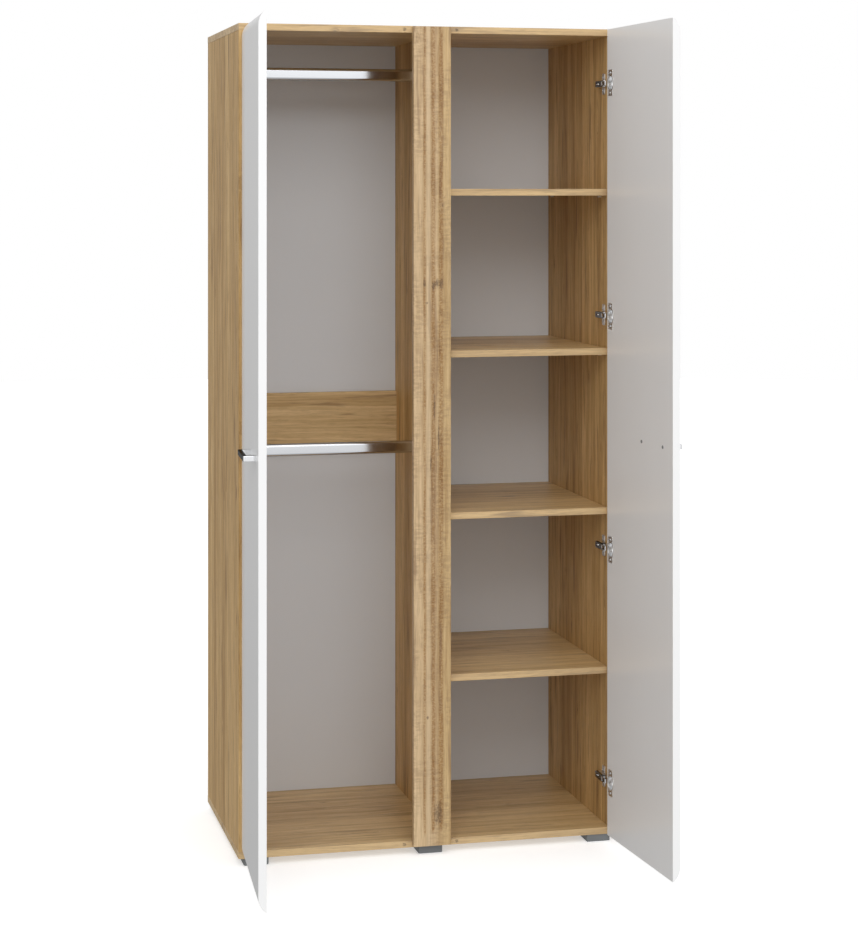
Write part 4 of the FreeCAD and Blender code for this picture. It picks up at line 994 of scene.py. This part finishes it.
def foot_shell(low, high):
    """Rings up the outside of a foot, across its top, and down into its well.

    Read from the well's floor: out to its rim, over the sole to the chamfer,
    up the side and in to the top. Every ring has the same number of points, so
    the round well and the square plan join as one surface.
    """
    middle, half = (low + high) / 2 / MM, (high - low) / 2 / MM
    corners = [(half.x, half.y), (-half.x, half.y), (-half.x, -half.y), (half.x, -half.y)]
    plan = rounded_outline(corners, (FOOT_ROUND,) * 4, 7)
    angle = np.arctan2(plan[:, 1], plan[:, 0])
    round_plan = np.stack([np.cos(angle), np.sin(angle)], axis=1)
    bottom, top = low.z / MM, high.z / MM
    shrink = 1 - FOOT_CHAMFER / half.x
    loops = [
        (round_plan * WELL_RADIUS, bottom + WELL_DEPTH), (round_plan * WELL_RADIUS, bottom + 0.8),
        (round_plan * (WELL_RADIUS + 0.8), bottom), (plan * shrink, bottom),
        (plan * (1 - 0.4 / half.x), bottom + 0.6), (plan, bottom + FOOT_CHAMFER),
        (plan, top - 0.5), (plan * (1 - 0.5 / half.x), top),
    ]
    rings = np.array([np.column_stack([loop, np.full(len(loop), z)]) for loop, z in loops])
    return closed_grid((rings + (middle.x, middle.y, 0)) * MM)


for row in ("front", "rear"):
    for where in ("left", "centre", "right"):
        name = f"foot_{row}_{where}"
        make_piece(name + "_block", foot_shell(*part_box(name)), FOOT_PLASTIC, "carcass",
                   [name])
print("feet: 6")

# %% [markdown]
# ## Concealed hinges: the parts on the door
#
# A concealed hinge has a pressed cup let into the door. The cup's flange lies
# on the door's inner face, and its two square wings carry a screw each. The cup is
# a profile turned about its own axis, with a rolled rim. The wings are thin
# eased slabs.

# %% Door-side landmarks
CUP_WALL = 1.2
FLANGE_THICK = 0.8
FLANGE_RIM = 2.0
WING_HIGH = 63.0
TAB_HALF = 12.8
TAB_ROOT = 16.4
CUP_SCREW_REACH = 24.0
SCREW_HEAD = 3.45
SCREW_RISE = 1.95
SCREW_RECESS = 1.1


def door_point(side, along, depth, height):
    """Closed-door points: along from the hinge edge, depth behind the inner face."""
    hand = hand_of(side)
    pivot = axis_of(side)
    along, depth, height = np.broadcast_arrays(along, depth, height)
    x = pivot[0] + hand * (HINGE_EDGE - along)
    y = pivot[1] + FACE_BEHIND_AXIS + depth
    return np.stack([x, y, height.astype(float)], axis=-1)


def hung(side, shells):
    """Join shells laid out on the closed door, and turn them open with it."""
    points, faces = join(shells)
    return opened(side, points * MM), faces


def turned_on_door(side, profile, along, height, around=48):
    """A profile of (radius, depth) turned about an axis square to the door."""
    angle = np.linspace(0, 2 * np.pi, around, endpoint=False)
    profile = np.array(profile, float)
    rings = door_point(side, along + profile[:, :1] * np.cos(angle), profile[:, 1:],
                       height + profile[:, :1] * np.sin(angle))
    return closed_grid(rings)


def slab_on_door(side, outline, along, height, low, high, ease):
    """An eased outline laid on the door, from one depth to another."""
    drawn, depths = eased_rings(outline, low, high, ease, 2)
    rings = door_point(side, along + drawn[..., 0], depths[:, None], height + drawn[..., 1])
    return closed_grid(rings)


# %% Cups and their screws
PRESSED = 40


def cup_profile():
    """Radius and depth from the floor's middle, up the wall, over the rim, back under.

    The cup is a thin wall: the inner line rises with a rounded floor corner, the
    rim rolls over, and the outer line returns to the floor.
    """
    inner, outer, rim = CUP_RADIUS - CUP_WALL, CUP_RADIUS - 0.05, CUP_RADIUS + FLANGE_RIM
    floor = CUP_WALL - CUP_DEPTH
    corner = np.linspace(0, np.pi / 2, 6)
    bowl = [(inner - 3 + 3 * math.sin(a), floor + 3 - 3 * math.cos(a)) for a in corner]
    lip = [(inner, 0.1), (inner + 0.3, FLANGE_THICK - 0.1), (inner + 0.9, FLANGE_THICK),
           (rim - 0.5, FLANGE_THICK), (rim, FLANGE_THICK - 0.3), (rim, 0.02)]
    back = [(outer, 0.02), (outer, 0.05 - CUP_DEPTH + 0.8), (outer - 0.8, 0.05 - CUP_DEPTH),
            (0.02, 0.05 - CUP_DEPTH)]
    return [(0.02, floor)] + bowl + lip + back


def cross_head(radius, rise, recess, low=0.0, around=48, rings=12):
    """A pan head with a cross recess, as rings of (x, y, height) about its middle.

    The height is a dome that falls towards the rim, less a cross: two narrow
    bars, deepest in the middle and fading towards the ends of the bars.
    """
    reach = np.concatenate([[0.004], np.linspace(0.06, 1, rings)])
    angle = np.linspace(0, 2 * np.pi, around, endpoint=False)
    x, y = np.outer(reach, np.cos(angle)), np.outer(reach, np.sin(angle))
    dome = rise * (1 - reach[:, None] ** 4 * 0.75)
    arm = np.minimum(np.abs(x), np.abs(y))
    length = np.maximum(np.abs(x), np.abs(y))
    cross = 1 / (1 + np.exp((arm - 0.13) * 45)) / (1 + np.exp((length - 0.55) * 30))
    height = dome - recess * cross
    skirt = np.stack([radius * x[-1], radius * y[-1], np.full(around, low)], axis=1)
    face = np.stack([radius * x, radius * y, height], axis=-1)
    return np.concatenate([face, skirt[None]])


def head_on_door(side, along, height, radius, low, rise, recess):
    """A screw head that stands on the door's inner face."""
    rings = cross_head(radius, rise, recess, low)
    return closed_grid(door_point(side, along + rings[..., 0], rings[..., 2],
                                  height + rings[..., 1]))


for side in SIDES:
    heads = []
    for number, height in enumerate(hinge_heights(side), 1):
        name = f"{side}_hinge_cup_{number}"
        cup = turned_on_door(side, cup_profile(), CUP_INSET, height)
        shells = [cup]
        for way in (-1, 1):
            tab = rounded_outline(
                [(-TAB_HALF, way * TAB_ROOT), (TAB_HALF, way * TAB_ROOT),
                 (TAB_HALF, way * WING_HIGH / 2), (-TAB_HALF, way * WING_HIGH / 2)],
                (0, 0, 2.5, 2.5), 5)
            shells.append(slab_on_door(side, tab, CUP_INSET, height, 0.02, FLANGE_THICK - 0.05,
                                       0.25))
            heads.append(head_on_door(side, CUP_INSET, height + way * CUP_SCREW_REACH,
                                      SCREW_HEAD, FLANGE_THICK - 0.05,
                                      FLANGE_THICK + SCREW_RISE, SCREW_RECESS))
        make_piece(name + "_pressed", hung(side, shells), NICKEL, side + "_door", [name],
                   sharp=PRESSED)
    make_piece(side + "_cup_screw_heads", hung(side, heads), ZINC, side + "_door",
               [side + "_hinge_cup_screws"], sharp=PRESSED)
    print(side, "cups: 4")

# %% [markdown]
# ## Concealed hinges: the plate, the arm and the link
#
# On the carcass side a plate with two screw wings carries a raised block. The
# arm is a pressed channel clipped over that block. Its cover has a slot with the
# adjusting screw, and its two cheeks run forward to the link's pin. The link is a
# curved bar that joins the pin to the cup. Each of these is an eased outline, so
# the small steps and rounds of pressed steel are real surfaces.

# %% Side-panel landmarks
CARCASS_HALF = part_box("right_side")[1].x / MM
CARCASS_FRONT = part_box("right_side")[0].y / MM
INNER_FACE = CARCASS_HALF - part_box("right_side")[0].x / MM
PLATE_THICK = 2.5
PLATE_SETBACK = 37.0
PLATE_WIDE = 19.0
PLATE_HIGH = 51.0
PLATE_SCREW_REACH = 16.0
WING_ROOT = 7.0
BLOCK_TOP = INNER_FACE + 8.0
ARM_TOP = INNER_FACE + 14.5
ARM_HALF = 7.5
ARM_WALL = 2.0
ARM_BACK = 64.0
ARM_TIP = 0.5
BLOCK_FRONT = 24.0
COVER_FRONT = 12.0


def side_point(side, inset, setback, height):
    """Points by inset from the carcass's outer face and setback from its front."""
    hand = hand_of(side)
    inset, setback, height = np.broadcast_arrays(inset, setback, height)
    return np.stack([hand * (CARCASS_HALF - inset), CARCASS_FRONT + setback,
                     height.astype(float)], axis=-1) * MM


def slab_level(side, outline, low, high, ease):
    """An eased outline of (inset, setback), carried from one height to another."""
    drawn, heights = eased_rings(outline, low, high, ease, 2)
    return closed_grid(side_point(side, drawn[..., 0], drawn[..., 1], heights[:, None]))


def head_on_side(side, setback, height, radius, low, rise, recess):
    """A screw head whose dome faces away from the side panel."""
    rings = cross_head(radius, rise, recess, low)
    return closed_grid(side_point(side, rings[..., 2], setback + rings[..., 0],
                                  height + rings[..., 1]))


print("inner face inset", round(INNER_FACE, 2), "front", round(CARCASS_FRONT, 2))

# %% Plates
def unit_circle(around):
    """Points evenly round a circle of radius one."""
    angle = np.linspace(-np.pi, np.pi, around, endpoint=False)
    return np.stack([np.cos(angle), np.sin(angle)], axis=1)


def squared(spoke, half_a, half_b, power):
    """A circle swollen towards a rectangle: the higher the power, the squarer."""
    total = np.abs(spoke[:, :1]) ** power + np.abs(spoke[:, 1:]) ** power
    return spoke * total ** (-1 / power) * (half_a, half_b)


def slotted_tab(side, height, way):
    """A wing with a round screw hole: outer and inner outlines joined as one wall."""
    spoke = unit_circle(64)
    middle = np.array([PLATE_SETBACK, way * (WING_ROOT + PLATE_HIGH / 2) / 2])
    outer = middle + squared(spoke, PLATE_WIDE / 2, (PLATE_HIGH / 2 - WING_ROOT) / 2, 5.0)
    hole = np.array([PLATE_SETBACK, way * PLATE_SCREW_REACH]) + spoke * 2.1
    top, low = INNER_FACE + PLATE_THICK - 0.02, INNER_FACE + 0.02
    loops = [(outer, low), (outer, top - 0.4), (middle + (outer - middle) * 0.965, top),
             (hole, top), (hole, low), (outer, low)]
    rings = np.array([side_point(side, level, loop[:, 0], height + loop[:, 1])
                      for loop, level in loops])
    return rings.reshape(-1, 3), grid_faces(len(loops), len(spoke))


def plate_block(side, height):
    """The raised block the arm clips on, with a rounded front and back."""
    outline = rounded_outline(
        [(INNER_FACE + 0.02, BLOCK_FRONT + 0.25), (BLOCK_TOP - 0.02, BLOCK_FRONT + 0.25),
         (BLOCK_TOP - 0.02, ARM_BACK), (INNER_FACE + 0.02, ARM_BACK)], (0, 1.5, 2.5, 0))
    return slab_level(side, outline, height - ARM_HALF + 0.3, height + ARM_HALF - 0.3, 0.4)


screw_heads = []
for side in SIDES:
    shells = []
    for height in hinge_heights(side):
        shells += [slotted_tab(side, height, -1), slotted_tab(side, height, 1),
                   plate_block(side, height)]
        for way in (-1, 1):
            top = INNER_FACE + PLATE_THICK
            screw_heads.append(head_on_side(side, PLATE_SETBACK, height + way * PLATE_SCREW_REACH,
                                            SCREW_HEAD, top, top + SCREW_RISE, SCREW_RECESS))
    make_piece(side + "_pressed_plates", join(shells), NICKEL, "carcass",
               [side + "_hinge_plates"], sharp=PRESSED)
make_piece("plate_screw_heads", join(screw_heads), ZINC, "carcass", ["hinge_plate_screws"],
           sharp=PRESSED)
print("plate screw heads:", len(screw_heads))

# %% Arms
LINK_INSET = 26.0
LINK_SETBACK = 5.0
PIN_RADIUS = 1.5
SLOT_HALF = 11.0
SLOT_WIDE = 2.4
SLOT_MIDDLE = 43.0
FIX_SETBACK, FIX_RADIUS = 47.0, 3.3
ADJUST_SETBACK, ADJUST_RADIUS = 18.5, 2.6
LINK_EYE = 2.7


def arm_cover(side, height):
    """The arm's top: a plate with a slot and a bevelled edge.

    The outline and the slot are joined by rings at matching angles, so that the
    slot is a real hole through the cover.
    """
    mid, half_long = (COVER_FRONT + ARM_BACK) / 2, (ARM_BACK - COVER_FRONT) / 2
    spoke = unit_circle(72)
    outer = squared(spoke, half_long, ARM_HALF, 9.0) + (mid, 0)
    inner_edge = squared(spoke, half_long - 0.7, ARM_HALF - 0.7, 9.0) + (mid, 0)
    hole = squared(spoke, SLOT_HALF, SLOT_WIDE, 3.0) + (SLOT_MIDDLE, 0)
    top, low = ARM_TOP - 0.02, ARM_TOP - ARM_WALL
    loops = [(outer, low), (outer, top - 0.7), (inner_edge, top), (hole, top), (hole, low),
             (outer, low)]
    rings = np.array([side_point(side, level, loop[:, 0], height + loop[:, 1])
                      for loop, level in loops])
    return rings.reshape(-1, 3), grid_faces(len(loops), len(spoke))


def arm_cheek(side, height, way):
    """One cheek of the arm: a plate whose front dips and rounds about the pin."""
    near = height + way * (ARM_HALF - ARM_WALL)
    far = height + way * (ARM_HALF - 0.05)
    eye = 2 * LINK_EYE
    outline = rounded_outline(
        [(BLOCK_TOP + 0.05, BLOCK_FRONT + 0.05), (BLOCK_TOP + 0.05, ARM_BACK - 0.05),
         (ARM_TOP - 0.3, ARM_BACK - 0.05), (ARM_TOP - 0.3, COVER_FRONT),
         (ARM_TOP - 1.0, ARM_TIP + 0.05), (LINK_INSET - eye + 0.05, ARM_TIP + 0.05),
         (LINK_INSET - eye + 0.05, BLOCK_FRONT - 6.0)],
        (1.0, 1.5, 1.0, 4.0, 3.6, 3.6, 3.0), 5)
    return slab_level(side, outline, min(near, far), max(near, far), 0.35)


def upright_pin(side, height, radius, half):
    """A rivet across the arm's cheeks: a rod with slightly domed ends."""
    angle = np.linspace(0, 2 * np.pi, 24, endpoint=False)
    profile = [(0.02, -half), (radius * 0.7, -half), (radius, -half + 0.3),
               (radius, half - 0.3), (radius * 0.7, half), (0.02, half)]
    rings = np.array([side_point(side, LINK_INSET + r * np.cos(angle),
                                 LINK_SETBACK + r * np.sin(angle), height + z)
                      for r, z in profile])
    return closed_grid(rings)


for side in SIDES:
    for number, height in enumerate(hinge_heights(side), 1):
        name = f"{side}_hinge_arm_{number}"
        shells = [arm_cover(side, height), arm_cheek(side, height, -1),
                  arm_cheek(side, height, 1),
                  upright_pin(side, height, PIN_RADIUS, ARM_HALF - 0.02),
                  head_on_side(side, FIX_SETBACK, height, FIX_RADIUS, BLOCK_TOP,
                               ARM_TOP - 0.1, 1.2),
                  head_on_side(side, ADJUST_SETBACK, height, ADJUST_RADIUS, ARM_TOP - 3.0,
                               ARM_TOP - 0.6, 1.0)]
        make_piece(name + "_pressed", join(shells), CHROME, "carcass", [name],
                   sharp=PRESSED)
print("arms: 8")

# %% Links
LINK_LENGTH = 18.0
LINK_HALF = 2.0
LINK_TIP = LINK_HALF * 0.97
LINK_LEAN = 10.0
LINK_HIGH = 10.0


def link_shell(side, height):
    """A link seen from above: an eye round the pin, a straight bar and a round tip.

    The outline is the eye's circle, then straight sides, then the tip's circle,
    so it is one closed curve.
    """
    hand = hand_of(side)
    way = math.radians(-90 - hand * LINK_LEAN)
    along = np.array([math.cos(way), math.sin(way)])
    across = np.array([-math.sin(way), math.cos(way)])
    eye = np.linspace(np.pi * 0.28, np.pi * 1.72, 22)
    tip = np.linspace(-np.pi / 2, np.pi / 2, 12)
    outline = np.concatenate([
        np.stack([LINK_EYE * np.cos(eye), LINK_EYE * np.sin(eye)], axis=1),
        np.stack([LINK_LENGTH + LINK_TIP * np.cos(tip), LINK_TIP * np.sin(tip)], axis=1)])
    drawn, heights = eased_rings(outline, height - LINK_HIGH / 2, height + LINK_HIGH / 2, 0.5, 2)
    flat = drawn[..., :1] * along + drawn[..., 1:] * across
    middle = np.array([hand * (CARCASS_HALF - LINK_INSET), CARCASS_FRONT + LINK_SETBACK])
    rings = np.concatenate([flat + middle, np.broadcast_to(heights[:, None, None],
                                                           flat.shape[:2] + (1,))], axis=-1)
    return closed_grid(rings * MM)


for side in SIDES:
    shells = [link_shell(side, height) for height in hinge_heights(side)]
    make_piece(side + "_curved_links", join(shells), CHROME, side + "_links",
               [side + "_hinge_links"], sharp=PRESSED)
print("links: 8")

# %% [markdown]
# ## Handle screws
#
# The handles are fixed from inside, so two pan heads with a cross recess show on
# each door's inner face.

# %% Handle screws
HANDLE_HEAD = 3.95

for side in SIDES:
    low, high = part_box(side + "_handle_screws")
    height = (low.z + high.z) / 2 / MM
    heads = [head_on_door(side, leg, height, HANDLE_HEAD, 0.02, SCREW_RISE, 1.2)
             for leg in HANDLE_LEGS]
    make_piece(side + "_handle_screw_heads", hung(side, heads), STEEL_DARK, side + "_door",
               [side + "_handle_screws"], sharp=PRESSED)
print("handle screw heads: 4")

# %% [markdown]
# ## Cover caps and small fittings
#
# The cams that pull the boards together are set into the uprights' inner faces.
# Each is covered by a thin cap in the board's own decor, a shallow disc with a
# softened rim. It is a short profile turned about the cam's axis. The rail
# brackets and the clear door dots are plain shapes, so they keep their own
# meshes and only take a finish.

# %% Cover caps
CAM_RADIUS = 7.5
CAP_PROFILE = ((0.02, 0.35), (5.8, 0.35), (6.9, 0.25), (7.4, 0.0), (7.4, -1.2), (0.02, -1.2))


def cover_caps():
    """A cap on each upright's bored face, front and rear, low and high."""
    low, high = (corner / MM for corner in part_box("cam_housings"))
    left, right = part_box("left_side")[1].x / MM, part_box("right_side")[0].x / MM
    faces = ((left, 1), (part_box("divider")[1].x / MM, 1), (right, -1))
    caps = []
    for x, way in faces:
        for y in (low.y + CAM_RADIUS, high.y - CAM_RADIUS):
            for z in (low.z + CAM_RADIUS, high.z - CAM_RADIUS):
                points, quads = turned(CAP_PROFILE, (x, y, z), (way, 0, 0))
                caps.append((points * MM, quads))
    return caps


caps = cover_caps()
make_piece("cam_cover_caps", join(caps), OAK_UPRIGHT, "carcass", ["cam_housings"],
           sharp=PRESSED)
print("cover caps:", len(caps))

# %% Plain fittings
PLAIN = {
    "rail_brackets": NICKEL, "rail_bracket_screws": ZINC, "door_bumpers": CLEAR_DOT,
}
finish_nodes(PLAIN)
print("plain fittings:", len(PLAIN))

# %% [markdown]
# ## Floor, light and camera
#
# The wardrobe stands on a plain pale floor that fades to white with distance.
# One large soft light hangs in front and above, and a white sky that is stronger
# in front fills the shadows. The camera is level, with a shifted lens, which
# keeps the uprights upright.

# %% Floor
FLOOR_GLOW = (0.42, 0.80)
FLOOR_DROP = 0.0005


def stage_floor(radius=14.0):
    """A flat disc: rings of points whose radius grows evenly from the middle."""
    angle = np.linspace(0, 2 * np.pi, 64, endpoint=False)
    reach = np.linspace(0.05, radius, 12)
    rings = np.stack([np.outer(reach, np.cos(angle)), np.outer(reach, np.sin(angle)),
                      np.full((12, 64), cad_box[0][2] - FLOOR_DROP)], axis=-1)
    mesh = bpy.data.meshes.new("studio_floor")
    mesh.from_pydata(rings.reshape(-1, 3).tolist(), [], grid_faces(12, 64) + [list(range(64))])
    floor = bpy.data.objects.new("studio_floor", mesh)
    bpy.context.scene.collection.objects.link(floor)
    material, tree, shader = new_finish("studio_floor_paint")
    place = node(tree, "TexCoord").outputs["Object"]
    away = node(tree, "VectorMath", {0: place}, operation="LENGTH").outputs["Value"]
    glow = node(tree, "MapRange", {0: away, 1: 0.9, 2: 3.5, 3: FLOOR_GLOW[0], 4: FLOOR_GLOW[1]})
    shader.inputs["Base Color"].default_value = (0.90, 0.90, 0.90, 1)
    shader.inputs["Roughness"].default_value = 0.9
    shader.inputs["Emission Color"].default_value = (1, 1, 1, 1)
    tree.links.new(glow.outputs[0], shader.inputs["Emission Strength"])
    mesh.materials.append(material)
    floor.visible_diffuse = False
    floor.visible_glossy = False
    floor.visible_shadow = False
    return floor


stage_floor()
print("floor glow", FLOOR_GLOW)

# %% Soft light
def soft_light(name, place, target, size, power):
    """A rectangular area light at a place, facing a target."""
    lamp = bpy.data.lights.new(name, "AREA")
    lamp.shape = "RECTANGLE"
    lamp.size, lamp.size_y = size
    lamp.energy = power
    made = bpy.data.objects.new(name, lamp)
    made.location = place
    made.rotation_euler = (Vector(target) - Vector(place)).to_track_quat("-Z", "Y").to_euler()
    bpy.context.scene.collection.objects.link(made)
    print(name, "power", power)


soft_light("front_light", (-0.9, -4.6, 4.0), (0, 0, 1.1), (3.2, 2.6), 62)

# %% Sky
SKY_AROUND = 0.70
SKY_FRONT = 0.86
SKY_BELOW = 0.45


def studio_sky():
    """White light from all round that grows towards the front of the wardrobe.

    Its strength is a steady part plus a part that follows how far a direction
    points to the front. Seen directly, the sky is plain white.
    """
    world = bpy.data.worlds.new("studio")
    world.use_nodes = True
    tree = world.node_tree
    direction = node(tree, "TexCoord").outputs["Generated"]
    parts = node(tree, "SeparateXYZ", {0: direction})
    ahead = calc(tree, "MAXIMUM", calc(tree, "MULTIPLY", parts.outputs["Y"], -1.0), 0.0)
    light = calc(tree, "MULTIPLY_ADD", ahead, SKY_FRONT, SKY_AROUND)
    lift = node(tree, "MapRange", {0: parts.outputs["Z"], 1: -0.25, 2: 0.25, 3: SKY_BELOW, 4: 1.0})
    light = calc(tree, "MULTIPLY", light, lift.outputs[0])
    seen = node(tree, "LightPath").outputs["Is Camera Ray"]
    strength = node(tree, "MapRange", {0: seen, 3: light, 4: 1.0}).outputs[0]
    sky = tree.nodes["Background"]
    sky.inputs["Color"].default_value = (1, 1, 1, 1)
    tree.links.new(strength, sky.inputs["Strength"])
    bpy.context.scene.world = world


studio_sky()
bpy.context.scene.view_settings.view_transform = "Standard"

# %% Camera
LENS = 90.45
LENS_SHIFT = (-0.04317, -0.29557)
CAMERA_PLACE = (-1.25389, -5.44053, 1.56214)
CAMERA_TURN = -0.24527

lens = bpy.data.cameras.new("camera")
lens.lens = LENS
lens.sensor_width = 36
lens.shift_x, lens.shift_y = LENS_SHIFT
lens.clip_end = 100
camera = bpy.data.objects.new("camera", lens)
camera.location = CAMERA_PLACE
camera.rotation_euler = (math.pi / 2, 0, CAMERA_TURN)
bpy.context.scene.collection.objects.link(camera)
bpy.context.scene.camera = camera
print("camera at", tuple(camera.location))
